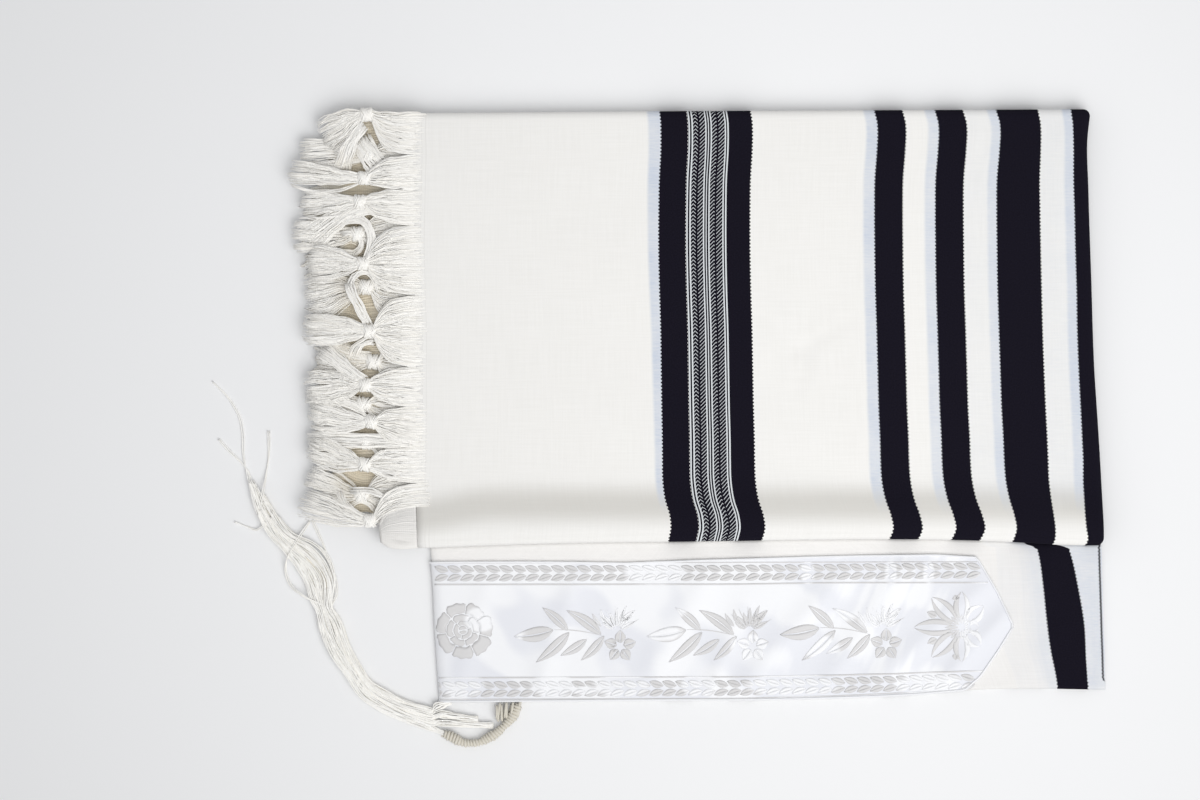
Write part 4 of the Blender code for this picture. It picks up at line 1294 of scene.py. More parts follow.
# Curled locks between the tassels: four control points of the middle line, height at its start
# and end, and width at its start and end
Lock = namedtuple("Lock", "x0 y0 x1 y1 x2 y2 x3 y3 z0 z3 wide0 wide3")
LOCKS = rows_of(Lock, [
    (-222, 226, -229, 219, -236, 208, -238, 192, 17, 10, 7, 14),
    (-223, 217, -220, 212, -213, 205, -208, 198, 13, 15, 13, 9),
    (-226, 214, -224, 204, -219, 196, -211, 188, 11, 15, 6, 5),
    (-212, 164, -230, 167, -242, 158, -262, 141, 17, 9, 7, 20),
    (-240, 156, -222, 162, -209, 150, -219, 128, 13, 17, 11, 6),
    (-237, 146, -225, 150, -216, 137, -229, 131, 14, 12, 4, 5),
    (-224, 141, -230, 145, -236, 144, -244, 139, 10, 8, 8, 11),
    (-228, 131, -236, 130, -242, 133, -254, 131, 12, 9, 5, 11),
    (-232, 104, -231, 121, -214, 123, -211, 104, 15, 13, 5, 4),
    (-232, 107, -229, 98, -224, 90, -218, 78, 17, 16, 7, 6),
    (-214, 66, -222, 68, -229, 60, -232, 48, 15, 10, 6, 9),
    (-221, 36, -232, 42, -242, 52, -252, 59, 17, 10, 7, 13),
    (-217, 54, -224, 52, -236, 56, -250, 66, 12, 8, 8, 13),
    (-222, 13, -232, 21, -245, 22, -263, 24, 16, 9, 5, 9),
    (-186, -11, -205, -9, -230, -8, -262, -10, 18, 10, 8, 13),
    (-240, -47, -237, -62, -226, -66, -208, -69, 12, 15, 6, 5),
    (-232, -56, -225, -51, -215, -54, -212, -61, 11, 12, 7, 6),
    (-230, -47, -207, -43, -196, -57, -211, -68, 15, 16, 6, 6),
])
print("tassels:", len(UPPER_TASSELS), "over", len(LOWER_TASSELS), "and locks:", len(LOCKS))

# %% [markdown]
# ## The yarn's finish
#
# Fringe yarn is twisted from plies, so fine slanting lines run round it.  Each yarn has its own
# tone on the mesh, since no two are equally bright.  Low down beside the knots the colour is
# painted warmer and darker, as painted shade between the yarns, so that part follows the height
# above the table.

# %% The yarn's finish
YARN_ROUGHNESS, YARN_GLOSS, YARN_SHEEN, PLY_DEPTH = 0.9, 0.1, 0.3, 0.04
FRINGE_PLY = 1.6
# Where the painted shade lies, warmer and darker: the heights from none to full, and the first and
# last x with a soft edge
PAINTED_SHADE_HEIGHTS, PAINTED_SHADE_PLACE = (16.0, 8.0), (-240.0, -194.0, 10.0)
# How much painted shade at most, and how dark the deepest of it is
PAINTED_SHADE_SHARE, PAINTED_SHADE_DEEP = 0.9, 0.72


def yarn_finish(name, pale, deep, ply_pitch, painted_shade=None):
    """Twisted wool: slanting ply lines along the yarn's own length, and a tone for each yarn.

    painted_shade is the colour painted low down beside the knots, warmer and darker, as painted
    shade between the yarns.
    """
    material, tree, along, around = new_finish(name, YARN_ROUGHNESS, YARN_GLOSS, YARN_SHEEN)
    tone = own_tone(tree)
    ply = ((along / ply_pitch + around * 0.002).share() - 0.5).size() * 2
    colour = blend(tree, tone * 0.75 + ply * 0.25, deep, pale)
    if painted_shade:
        place = tree.nodes.new("ShaderNodeTexCoord").outputs["Object"]
        x, z = (part / MM for part in axes_of(tree, place)[::2])
        # Painted shade: low down beside the knots the yarn turns warmer and darker
        low = z.smooth(*PAINTED_SHADE_HEIGHTS) * between(x, *PAINTED_SHADE_PLACE)
        shaded = tuple(PAINTED_SHADE_DEEP * value for value in painted_shade[:3]) + (1,)
        own_shade = (tone * 1.1 - 0.3 + ply * 0.3).math("MAXIMUM", 0.0).math("MINIMUM", 1.0)
        warm_shade = blend(tree, own_shade, shaded, painted_shade)
        colour = blend(tree, low * PAINTED_SHADE_SHARE, colour, warm_shade)
    finish_with(tree, colour, ply, PLY_DEPTH)
    return material


fringe_yarn = yarn_finish(
    "fringe_yarn", (0.99, 0.98, 0.958, 1), (0.955, 0.932, 0.88, 1), FRINGE_PLY,
    painted_shade=(0.93, 0.85, 0.69, 1),
)
# Yarn of the loose ends below: darker and warmer as painted shade, since they lie under the
# tassels
shaded_yarn = yarn_finish(
    "shaded_yarn", (0.98, 0.965, 0.925, 1), (0.80, 0.76, 0.67, 1), FRINGE_PLY,
    painted_shade=(0.90, 0.81, 0.64, 1),
)
turned_yarn = yarn_finish(
    "turned_yarn", (0.90, 0.885, 0.865, 1), (0.81, 0.795, 0.765, 1), FRINGE_PLY
)
print("yarns:", fringe_yarn.name, shaded_yarn.name, turned_yarn.name)

# %% [markdown]
# ## Paths of yarn
#
# A loose yarn lies in an easy curve, which a cubic Bezier gives from four points, and keeps a
# crimp from the spinning.  All disorder comes from one seeded generator, in a fixed order.

# %% Paths of yarn
YARN_RADIUS = 0.42
YARN_STATIONS = 9
CRIMP, CRIMP_PITCH, FINE_CRIMP = 0.55, 17.0, 7.3
UP = np.array([0, 0, 1.0])
disorder = np.random.default_rng(5)
uniform, normal = disorder.uniform, disorder.normal


def bezier(corners, count):
    """Cubic Bezier curves through four control points, (4, curves, 3), at `count` even shares."""
    t = np.linspace(0, 1, count)[None, :, None]
    a, b, c, d = (point[:, None] for point in corners)
    return (1 - t) ** 3 * a + 3 * t * (1 - t) ** 2 * b + 3 * t**2 * (1 - t) * c + t**3 * d


def leftward(way):
    """Each direction turned a quarter to its left, level with the table."""
    left = np.zeros_like(way)
    left[..., 0], left[..., 1] = -way[..., 1], way[..., 0]
    return left


def heading(start, end):
    """Level direction from one place to another, its length, and the direction to its left."""
    way = (end - start) * [1, 1, 0]
    long = np.linalg.norm(way)
    return way / long, long, leftward(way / long)


def spread_of(count, amount):
    """Random numbers for `count` yarns, one in a row, from the shared generator."""
    return normal(0.0, amount, (count, 1))


def crimped(lines, side, place):
    """Paths that sway sideways as one with their neighbours, and a little each on its own."""
    along = length_along(lines)
    own = normal(0, 0.5, (len(lines), 1))
    phase = np.reshape(place, (-1, 1)) * 9 + own + uniform(0, tau)
    held = np.sin(np.linspace(0, pi, lines.shape[1])) ** 0.5
    coarse, fine = along / CRIMP_PITCH * tau + phase, along / FINE_CRIMP + 3 * phase
    sway = CRIMP * held * (np.sin(coarse) + 0.5 * np.sin(fine))
    return lines + sway[..., None] * side


def yarns(name, lines, radius, material, low=0.0):
    """Yarn tubes of four sides, each with its own tone."""
    tone = uniform(low, 1, len(lines))
    return tubes(name, lines, radius, 4, material, tone)


print("a yarn has", YARN_STATIONS, "stations and is", 2 * YARN_RADIUS, "mm thick")

# %% [markdown]
# ## From the cloth to a knot
#
# The yarns leave the cloth's edge side by side and draw in to the knot, so together they make a
# web.  Those of the upper tier start just under the top cloth, a little inside its edge, and those
# of the lower tier at the level of the next layers.

# %% A web
FEWEST_YARNS = 90


def web_paths(row, tier, knot, way, side):
    """A tassel's web: each yarn's share of the edge, its place in the knot, and its path."""
    low, high = row.root_low, row.root_high
    count = max(int((high - low) * tier.per_mm), FEWEST_YARNS)
    share = (np.arange(count) + uniform(0, 1, count)) / count
    root_y = low + (high - low) * share
    root_x = settle(np.full(count, float(BLOCK.left)), root_y, BLOCK)[0]
    layer = uniform(-1, 1, count)
    if tier.root_z is None:
        edge_x = np.full((count, 1), float(BLOCK.left))
        root_z = block_height(edge_x, root_y[:, None])[:, 0] - 0.45
        root_x = root_x + uniform(2.0, 11.0, count)
    else:
        root_z = tier.root_z + 0.6 * layer
        root_x = root_x - 0.3
    root = np.stack([root_x, root_y, root_z], axis=-1)
    turn = uniform(0, tau, count)
    off = tier.knot_radius * 0.6 * np.sqrt(uniform(0, 1, count))
    level = (0.5 - share) * tier.knot_radius * 1.25 * -np.sign(side[1]) + 0.3 * off * np.cos(turn)
    lift = off * np.sin(turn)
    entry = knot - way * tier.knot_long * 0.3 + side * level[:, None]
    entry[:, 2] += lift
    far = np.linalg.norm(entry - root, axis=-1, keepdims=True)
    aside = ((root - entry) * side).sum(axis=-1, keepdims=True)
    leave = root - np.array([1, 0, 0]) * far * uniform(0.52, 0.70, (count, 1))
    leave[:, 2] += 1.6 + 0.9 * layer
    arrive = entry - way * far * 0.13 + side * (aside * 0.62 + spread_of(count, 0.7))
    arrive[:, 2] += 0.9 + 0.7 * layer
    return share, level, lift, bezier([root, leave, arrive, entry], YARN_STATIONS)


print("widest web:", max(row.root_high - row.root_low for row in UPPER_TASSELS), "mm")

# %% [markdown]
# ## From a knot to the free ends
#
# Beyond the knot the yarns part again in clumps, as damp hair does.  Each clump bows its own way,
# and some yarns keep out of any clump.

# %% A tuft
CLUMP_WIDTH, CLUMP_SHIFT, CLUMP_BOW = 2.3, 0.62, 2.4
FREE_SHARE = 0.36


def tuft_paths(row, tier, knot, start, way, order, lift):
    """A tassel's tuft: each yarn's clump, the direction to its left, and its path."""
    count = len(order)
    aim, long, aim_side = heading(knot, np.array([row.tip_x, row.tip_y, tier.tip_z]))
    clumps = max(int(row.spread / CLUMP_WIDTH), 4)
    clump = np.clip(((order + 1) / 2 * clumps).astype(int), 0, clumps - 1)
    place = uniform(-1, 1, count)
    shift = normal(0, CLUMP_SHIFT, clumps)
    middle = (np.arange(clumps) + 0.5 + shift) / clumps * 2 - 1
    fan = middle[clump] + place * 1.3 / clumps
    free = uniform(0, 1, count) < FREE_SHARE
    fan[free] = uniform(-1.1, 1.1, free.sum())
    ends = uniform(0.93, 1.05, clumps)[clump] - 0.2 * uniform(0, 1, count) ** 3
    reach = long * (ends - 0.05 * fan**2)
    wide = (fan * row.spread * 0.40)[:, None]
    end = knot + aim * reach[:, None] + aim_side * wide
    over = uniform(-0.5, 0.5, clumps)[clump] + 0.35 * np.sqrt(1 - place**2)
    over += 0.4 * lift / tier.knot_radius + 0.4 * free
    end[:, 2] = tier.tip_z + over
    bow = normal(0, CLUMP_BOW, clumps)[clump] * np.where(free, 0.3, 1.0)
    bow = bow[:, None]
    apart = wide * 0.34 + bow * 0.6 + spread_of(count, 0.25)
    leave = start + way * long * 0.16 + aim_side * apart
    arrive = end - aim * long * 0.36 + aim_side * (wide * 0.06 + bow + spread_of(count, 0.3))
    arrive[:, 2] += 2.2 + 0.5 * over
    return clump, aim_side, bezier([start, leave, arrive, end], YARN_STATIONS)


def tassel_yarns(row, tier):
    """Web and tuft of one tassel, as two tables of paths, and the way that it points."""
    knot = np.array([row.knot_x, row.knot_y, tier.knot_z])
    root_y = (row.root_low + row.root_high) / 2
    way, _, side = heading(np.array([BLOCK.left, root_y, 0]), np.array([row.tip_x, row.tip_y, 0]))
    share, level, lift, web = web_paths(row, tier, knot, way, side)
    start = knot + way * tier.knot_long * 0.3 + side * level[:, None]
    start[:, 2] += lift * 0.8
    order = (1 - 2 * share) * -np.sign(side[1])
    clump, aim_side, tuft = tuft_paths(row, tier, knot, start, way, order, lift)
    return crimped(web, side, share), crimped(tuft, aim_side, clump * 0.7), way


print("a clump of a tuft is about", CLUMP_WIDTH, "mm wide")

# %% [markdown]
# ## Locks and knots
#
# A lock's yarns are its middle line moved aside and up, with ends that don't line up.  A knot is
# the yarns' own crossing: two flat bundles of turns that lean opposite ways, over a round body.

# %% Locks and knots
LOCK_PER_MM, FEWEST_IN_LOCK = 4.4, 24
LOCK_ARCH = 2.2
LOOP_RADIUS, LOOP_TURNS, LOOP_STATIONS = 0.62, 1.12, 17
# A knot's bundles of turns: how far they lean, and their first and last place, from -1 to 1
BUNDLES = [(0.42, -0.75, 0.35), (-0.5, -0.3, 0.8)]
LOOPS_IN_BUNDLE = 6


def lock_yarns(row):
    """Paths of one curled lock: its control points, moved aside and up by each yarn's share."""
    count = max(int(max(row.wide0, row.wide3) * LOCK_PER_MM), FEWEST_IN_LOCK)
    middle = np.array(row[:8], float).reshape(4, 2)
    way = unit(np.gradient(middle, axis=0))
    side = leftward(way)
    wide = np.linspace(row.wide0, row.wide3, 4)
    place = uniform(-1, 1, count)
    drift = normal(0, 0.10, (4, count))
    aside = (place + drift) * wide[:, None] / 2
    plan = middle[:, None] + side[:, None] * aside[..., None]
    ends = uniform(-1, 1, (2, count, 1)) * 2.4
    plan[0] -= way[0] * np.maximum(ends[0], -1)
    plan[3] += way[3] * ends[1]
    dome = 1.5 * np.sqrt(1 - place**2) * uniform(-0.6, 1, count)
    height = np.linspace(row.z0, row.z3, 4)[:, None] + dome
    height[1:3] += LOCK_ARCH
    lines = bezier(np.concatenate([plan, height[..., None]], axis=-1), YARN_STATIONS)
    return crimped(lines, np.append(side[1], 0), place * 0.3)


def ring_of(side, angle):
    """Directions round a level path: cos(angle) times its left, and sin(angle) upward."""
    return np.cos(angle)[:, None] * side + np.sin(angle)[:, None] * UP


def knot_loops(knot, way, tier):
    """The yarns that cross over a knot: two flat bundles of rings, leaning opposite ways.

    A ring's radius shrinks towards the knot's ends as the square root of 1 - s^2.
    """
    side = leftward(way)
    angle = np.linspace(0, LOOP_TURNS * tau, LOOP_STATIONS)
    ring = ring_of(side, angle)
    loops = []
    for lean, first, last in BUNDLES:
        shares = np.linspace(first, last, LOOPS_IN_BUNDLE)
        for s in shares + normal(0, 0.04, LOOPS_IN_BUNDLE):
            own = 1 + 0.03 * normal()
            radius = tier.knot_radius * np.sqrt(1 - min(s * s, 0.9)) * own
            tilt = lean * np.cos(angle + normal(0, 0.15)) * radius
            shift = s * tier.knot_long / 2 + tilt * np.sign(-side[1])
            loops.append(knot + way * shift[:, None] + ring * radius)
    return loops, [ring] * len(loops)


print("a knot has", len(BUNDLES) * LOOPS_IN_BUNDLE, "turns over it")

# %% [markdown]
# ## The two tiers
#
# The fringe of the upper quarter lies over that of the quarter under it.  One function makes both
# from their tables, and only the upper one has curled locks.

# %% The two tiers
KNOT_BODY = np.linspace(-1, 1, 12)
TUFT_TAPER = 0.72


def fringe(tier, locks, material):
    """Webs, tufts and knots of one tier, as four pieces, and its locks as a fifth."""
    webs, tufts, loops, outward, cores = [], [], [], [], []
    for row in tier.tassels:
        web, tuft, way = tassel_yarns(row, tier)
        webs.append(web)
        tufts.append(tuft)
        knot = np.array([row.knot_x, row.knot_y, tier.knot_z])
        crossing, rings = knot_loops(knot, way, tier)
        loops += crossing
        outward += rings
        cores.append(knot + way * (KNOT_BODY * tier.knot_long * 0.55)[:, None])
    round_off = tier.knot_radius * 0.93 * np.sqrt(1 - (0.85 * KNOT_BODY) ** 2)
    taper = YARN_RADIUS * np.linspace(1, TUFT_TAPER, YARN_STATIONS)
    made = [
        yarns(f"{tier.node}_webs", np.concatenate(webs), YARN_RADIUS, material),
        yarns(f"{tier.node}_tufts", np.concatenate(tufts), taper, material),
        tubes(f"{tier.node}_loops", np.stack(loops), LOOP_RADIUS, 5, material,
              uniform(0.3, 1, len(loops)), up=np.stack(outward)),
        tubes(f"{tier.node}_knots", np.stack(cores), round_off, 10, material,
              uniform(0.4, 0.8, len(cores))),
    ]
    if locks:
        lines = np.concatenate([lock_yarns(row) for row in locks])
        made.append(yarns(f"{tier.node}_locks", lines, YARN_RADIUS, material, 0.3))
    for piece in made:
        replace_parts(piece, tier.node)


fringe(UPPER_TIER, LOCKS, fringe_yarn)
fringe(LOWER_TIER, [], fringe_yarn)

# %% [markdown]
# ## Loose ends below
#
# The quarters further down have a fringe too, but only loose ends of it show between the tassels.
# One ribbed sheet with a ragged edge is enough for them.

# %% Loose ends below
# How far from the edge, and how far down, as the solid has them
LOOSE_FALL = [
    (0.3, 0), (9, 0.3), (19, 0.9), (29, 1.9), (39, 3.4), (55, 6), (78, 8.4),
]
# How far the ends reach at places along the edge
LOOSE_REACH = [
    (-66, 46), (-57, 60), (-30, 70), (60, 75), (170, 79), (200, 72), (216, 54), (235, 42),
]
LOOSE_TOP = 11.4
MOST_RIDGES = 190
RIDGE_ROWS = 4


def loose_yarns(material):
    """The lowest layers' loose ends as one ribbed sheet, a ridge for each few yarns.

    A ridge has four rows of points, and rises from its valleys as a half wave of its own height.
    """
    first, last = LOOSE_REACH[0][0], LOOSE_REACH[-1][0]
    widths = uniform(0.9, 2.6, MOST_RIDGES)
    widths = widths[np.cumsum(widths) < last - first]
    starts = first + np.cumsum(widths) - widths
    part = np.arange(RIDGE_ROWS) / RIDGE_ROWS
    y = (starts[:, None] + widths[:, None] * part).ravel()
    height = uniform(0.6, 1.7, len(widths))
    own = uniform(0.3, 1, len(widths))
    ridge = (height[:, None] * np.sin(pi * part)).ravel()
    # The tone falls towards each ridge's valleys, so they take the darker colour as painted shade
    # between the yarns
    tone = (own[:, None] * np.sin(pi * part) ** 0.6).ravel()
    share = np.concatenate([[0.004, 0.04], np.linspace(0.1, 1, 15)])
    ends = np.repeat(normal(0, 2.4, len(widths)), RIDGE_ROWS)
    ends += normal(0, 0.8, len(y))
    ragged = curve(LOOSE_REACH, y) + 3.0 * np.sin(y / 3.1) * np.sin(y / 1.7) + ends
    out = share[:, None] * ragged
    sway = 2.6 * np.sin(y / 8.3 + out / 13) + 1.7 * np.sin(y / 9.7 - out / 6 + 2)
    z = LOOSE_TOP - curve(LOOSE_FALL, out) + ridge + 0.8 * np.sin(out / 7 + y / 5)
    x = settle(np.full_like(y, float(BLOCK.left)), y, BLOCK)[0] - out
    points = np.stack([x, y + sway * np.clip(out / 50, 0, 1), z], axis=-1)
    uv = np.stack([out, 0 * out + y * 2], axis=-1)
    sheet = new_sheet("loose_yarns", points, uv, material, wall=0.6)
    tones = sheet.data.attributes.new("tone", "FLOAT", "POINT")
    tones.data.foreach_set("value", np.tile(tone, len(share)))
    return sheet


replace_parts(loose_yarns(shaded_yarn), "fringe_lower")

# %% [markdown]
# ## The fringe round the bottom fold
#
# Where the fringed edge goes round the bottom fold, its yarns weren't tied.  They lie side by
# side in a flat bundle that turns under with the cloth, so this piece is the top panel's own
# fold carried on to the left, sagging a little, with fine yarns over it.

# %% The turned fringe
TurnRow = namedtuple("TurnRow", "from_edge start rise sag")
FRINGE_TURN = rows_of(TurnRow, [
    (0.3, -50, 0, 0), (8, -51, 0, 0.6), (16, -54, 0.4, 1.6), (23, -58, 1.6, 3.4),
    (28, -68, 4.4, 6),
])


def turned_fringe(from_edge, step, share, lift):
    """Points on the turned bundle: a row for each step round the fold, then shares up its top."""
    table = np.array(FRINGE_TURN, float)
    start, rise, sag = (curve(table[:, [0, k]], from_edge) for k in (1, 2, 3))
    fold = BLOCK_FLAT[2] + rise
    v = np.where(step < 0, fold, fold + share * (start - fold))
    profile = fold_profile(BLOCK_TURNS, BLOCK_FOLD_RADIUS, -lift)
    points = placed(BLOCK, block_height, profile, BLOCK.left - from_edge, 0, v, step)
    points[..., 2] -= sag
    return points


TURNS = len(BLOCK_TURNS)
FLAT_ROWS = 12
# Rows of fine yarns, round the fold and on top of it, and how far they lie above the bundle
TURNED_YARNS, FLAT_YARNS, YARNS_ABOVE = 26, 84, 0.25
from_edge = np.linspace(FRINGE_TURN[0].from_edge, FRINGE_TURN[-1].from_edge, 16)[None, :]
steps = np.concatenate([-np.arange(TURNS, 0, -1), np.zeros(FLAT_ROWS)])[:, None]
shares = np.concatenate([np.zeros(TURNS), np.linspace(0, 1, FLAT_ROWS)])[:, None]
points = turned_fringe(from_edge, steps, shares, 0.0)
row_at = np.cumsum(0 * steps + 2.0, axis=0)
bundle_uv = np.stack(np.broadcast_arrays(from_edge * 6, row_at), axis=-1)
bundle = new_sheet("turned_bundle", points, bundle_uv, turned_yarn)
fine = np.concatenate([
    np.linspace(0, TURNS, TURNED_YARNS), np.linspace(TURNS, len(steps) - 1, FLAT_YARNS)[1:]
])
row, part = np.floor(fine).astype(int), fine % 1
row_next = np.minimum(row + 1, len(steps) - 1)
lifted = turned_fringe(from_edge, steps, shares, YARNS_ABOVE)
lines = lifted[row] + (lifted[row_next] - lifted[row]) * part[:, None, None]
lines[..., 1] += 0.5 * np.sin(from_edge / 5 + fine[:, None] / 3)
lines[..., 2] += normal(0, 0.10, (len(lines), 1))
turned = yarns("turned_yarns", lines, YARN_RADIUS, turned_yarn, 0.5)
for piece in (bundle, turned):
    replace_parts(piece, "fringe_turn")

# %% [markdown]
# ## The corner tassels
#
# Each corner carries a tassel of eight long strings, and all four were drawn together to the left
# side as one hank.  The hank has a middle line with a width.  A string keeps its own lane in it,
# wanders a little from lane to lane, and leaves it near its end.  A few long ends stray out.

# %% The hank's tables
TrunkRow = namedtuple("TrunkRow", "x y pitch")
TRUNK = rows_of(TrunkRow, [
    (-172, -218.7, 2.1), (-188, -213.5, 2), (-205, -206, 1.95), (-220, -196, 1.8),
    (-230, -182, 1.62), (-240, -164.5, 1.95), (-247, -146.5, 2.05), (-252, -134.5, 1.45),
    (-254, -125, 2.3), (-255, -117, 2.7), (-258.5, -108.5, 2.8), (-262.5, -102.5, 2.65),
    (-268, -96, 2.2), (-274.5, -90.5, 1.9), (-280, -85.5, 1.7), (-287, -77.8, 1.75),
    (-294.8, -65, 1.6), (-299.5, -56, 1.4), (-304, -45, 0.95), (-308.5, -36, 0.5),
])
LANES = 8
PLY_RADIUS = 0.62
STRING_RADIUS = 1.0
STRING_STATIONS = 150
PLY_PITCH, PLY_TURNS_APART = 6.4, 105.0
# Strings that leave the hank: the share of it where they do, and the places they pass through
LooseEnd = namedtuple("LooseEnd", "string leaves_at through")
LOOSE_ENDS = rows_of(LooseEnd, [
    (1, 0.5, [(-242.4, -124.5, 3), (-243.2, -115.3, 2), (-247.4, -101.1, 1.2),
              (-253.2, -86.1, 1.2), (-260.7, -69.5, 1.1)]),
    (9, 0.5, [(-266.5, -126.1, 7), (-276.5, -118.6, 3), (-280.7, -108.6, 2), (-279, -96.1, 6),
              (-272.8, -85.3, 5.5), (-262.8, -69.9, 1.2)]),
    (27, 0.95, [(-311.2, -29, 2), (-312.9, -17, 1.2), (-313, -6, 1.1), (-314.8, 6.2, 1.1),
                (-323.3, 22, 1.1), (-336, 35.2, 1.1)]),
    (30, 0.94, [(-309.5, -32, 2), (-315, -25, 1.2), (-323.3, -17.1, 1.1), (-331.3, -8, 1.1)]),
    (20, 0.9, [(-297.5, -47, 6), (-295.8, -36.1, 2), (-293.7, -19.2, 1.1), (-293.7, -1.9, 1.1)]),
    (25, 0.84, [(-303, -76.5, 2), (-309.5, -74.2, 1.1), (-319.5, -70.4, 1.1)]),
])
# Strings that bow out of the hank for a while: string, share of the way, length of bow, how far
Bow = namedtuple("Bow", "string at long out")
BOWS = rows_of(Bow, [
    (0, 0.69, 0.075, -3.5), (2, 0.68, 0.07, -2.5), (4, 0.70, 0.065, -3), (5, 0.72, 0.055, -2),
    (7, 0.71, 0.06, -1.5), (17, 0.36, 0.05, 3), (22, 0.30, 0.05, -4), (12, 0.84, 0.05, 3),
    (29, 0.78, 0.05, -4), (14, 0.62, 0.05, 4), (6, 0.80, 0.05, 4), (19, 0.70, 0.06, -4),
])
# Where a tassel starts at the neck edge: its right and left end, and how thick it is there
Head = namedtuple("Head", "right_x right_y left_x left_y thick")
HEADS = rows_of(Head, [
    (-156, -205.5, -168, -209.2, 1.6), (-136, -218.8, -163, -215, 1.2),
    (-124.5, -223.4, -159, -221.6, 0.9),
])
print("stray ends:", len(LOOSE_ENDS), "and bows:", len(BOWS))

# %% [markdown]
# ## One string's path
#
# A string starts in its tassel's head and runs in its lane of the hank.  It wanders by a sum of
# waves with phases of its own, so that no two strings run alike.

# %% One string's path
PHASE_STEP = 1.9
LANE_STATIONS, HEAD_STATIONS = 34, 7
# The lowest string's height and the next layer's, and the shares where the first and last one ends
LOWEST_STRING, LAYER_APART = 2.6, 1.3
FIRST_END, ENDS_OVER = 0.84, 0.15


def followed(table, shares):
    """A path table's columns at shares of its length, and the path's direction there.

    The first two columns are x and y, and each column is read as a smooth line.
    """
    columns = np.array(table, float)
    along = length_along(columns[:, :2])
    values = [curve(np.column_stack([along, one]), shares * along[-1]) for one in columns.T]
    return values, unit(np.stack([np.gradient(values[0]), np.gradient(values[1])], axis=-1))


def trunk(shares):
    """The hank's middle line at shares of its length: place, direction, and lane pitch."""
    (x, y, pitch), way = followed(TRUNK, shares)
    return np.stack([x, y], axis=-1), way, pitch


def in_hank(number, leaves):
    """A string's path in its lane, from the hank's start to the share where it leaves it."""
    tassel, member = divmod(number, LANES)
    lane = 2 * tassel + (member % 4) / 2 - 0.25
    level = LOWEST_STRING + LAYER_APART * (member // 4) + 0.5 * (member % 2)
    shares = np.linspace(0, leaves, LANE_STATIONS)
    place, way, pitch = trunk(shares)
    phase = number * PHASE_STEP
    wander = 0.9 * np.sin(shares * 7 + lane * 0.7) + 0.5 * np.sin(shares * 15 + phase)
    wander += 0.45 * np.sin(shares * 37 + 3.1 * phase)
    aside = (lane - (LANES - 1) / 2) * pitch + wander * np.clip(shares / 0.1, 0, 1) * pitch / 2.4
    for bow in BOWS:
        if bow.string == number:
            aside += bow.out * np.exp(-(((shares - bow.at) / bow.long) ** 2))
    line = place + leftward(way) * aside[:, None]
    rise = level + 0.6 * np.sin(shares * 15 + phase) * np.clip(shares / 0.08, 0, 1)
    z = np.maximum(rise * (1.45 - 0.15 * pitch), STRING_RADIUS + 0.1)
    return np.column_stack([line, z])


def in_head(number):
    """A string's path at the neck edge: round its tassel's head, or out of the wound cord."""
    tassel, member = divmod(number, LANES)
    turn = member * tau / LANES
    if tassel >= len(HEADS):
        return np.array([[-161.5, -229.4 + 1.3 * np.cos(turn), 4.0 + 1.3 * np.sin(turn)]])
    head = HEADS[tassel]
    t = np.linspace(0, 1, HEAD_STATIONS)[:, None]
    gather = head.thick + 0.8 * t
    start, end = np.array([head.right_x, head.right_y]), np.array([head.left_x, head.left_y])
    sway = 0.5 * np.sin(t * 6 + number * PHASE_STEP)
    front = start + (end - start) * t + [0, 1] * (gather * np.cos(turn) + sway)
    return np.column_stack([front, 3.2 + 1.2 * t + gather * np.sin(turn)])


def string_path(number):
    """One string: its head, its lane in the hank, and its end, as a rough path."""
    loose = {row.string: row for row in LOOSE_ENDS}.get(number)
    if loose:
        return np.concatenate([in_head(number), in_hank(number, loose.leaves_at), loose.through])
    leaves = FIRST_END + ENDS_OVER * ((number * 0.618) % 1) ** 0.7
    return np.concatenate([in_head(number), in_hank(number, leaves)])


print("a string's rough path has", len(string_path(0)), "places")

# %% [markdown]
# ## Strings of two plies
#
# Each string is twisted from plies.  Two tubes that turn slowly about one path show this, and
# they swell a little along the way, as hand-spun yarn does.

# %% Strings of two plies
PLIES_APART, PLIES_FLAT = 0.72, 0.55


def plies(number):
    """The two plies of one string, on its path's opposite sides, turning slowly about it."""
    path = resampled(string_path(number), STRING_STATIONS)
    side = unit(leftward(np.gradient(path, axis=0)))
    angle = length_along(path) / PLY_TURNS_APART * tau + number * 1.3
    angle = angle + 1.2 * np.sin(angle * 0.37 + number)
    apart = PLIES_APART * ring_of(side, angle) * [1, 1, PLIES_FLAT]
    pair = np.stack([path + apart, path - apart])
    pair[..., 2] = np.maximum(pair[..., 2], PLY_RADIUS + 0.05)
    return pair


string_yarn = yarn_finish(
    "tassel_string", (0.99, 0.985, 0.967, 1), (0.955, 0.93, 0.87, 1), PLY_PITCH / 2
)
for tassel in range(4):
    paths = np.concatenate([plies(tassel * LANES + member) for member in range(LANES)])
    swell = 1 + 0.08 * np.sin(np.arange(STRING_STATIONS) * 1.7)[None]
    swell = swell * np.linspace(1.05, 0.90, STRING_STATIONS)
    strings = tubes(f"strings_{tassel + 1}", paths, PLY_RADIUS * swell, 4, string_yarn,
                    uniform(0.2, 1, len(paths)))
    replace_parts(strings, f"tzitzit_{tassel + 1}")
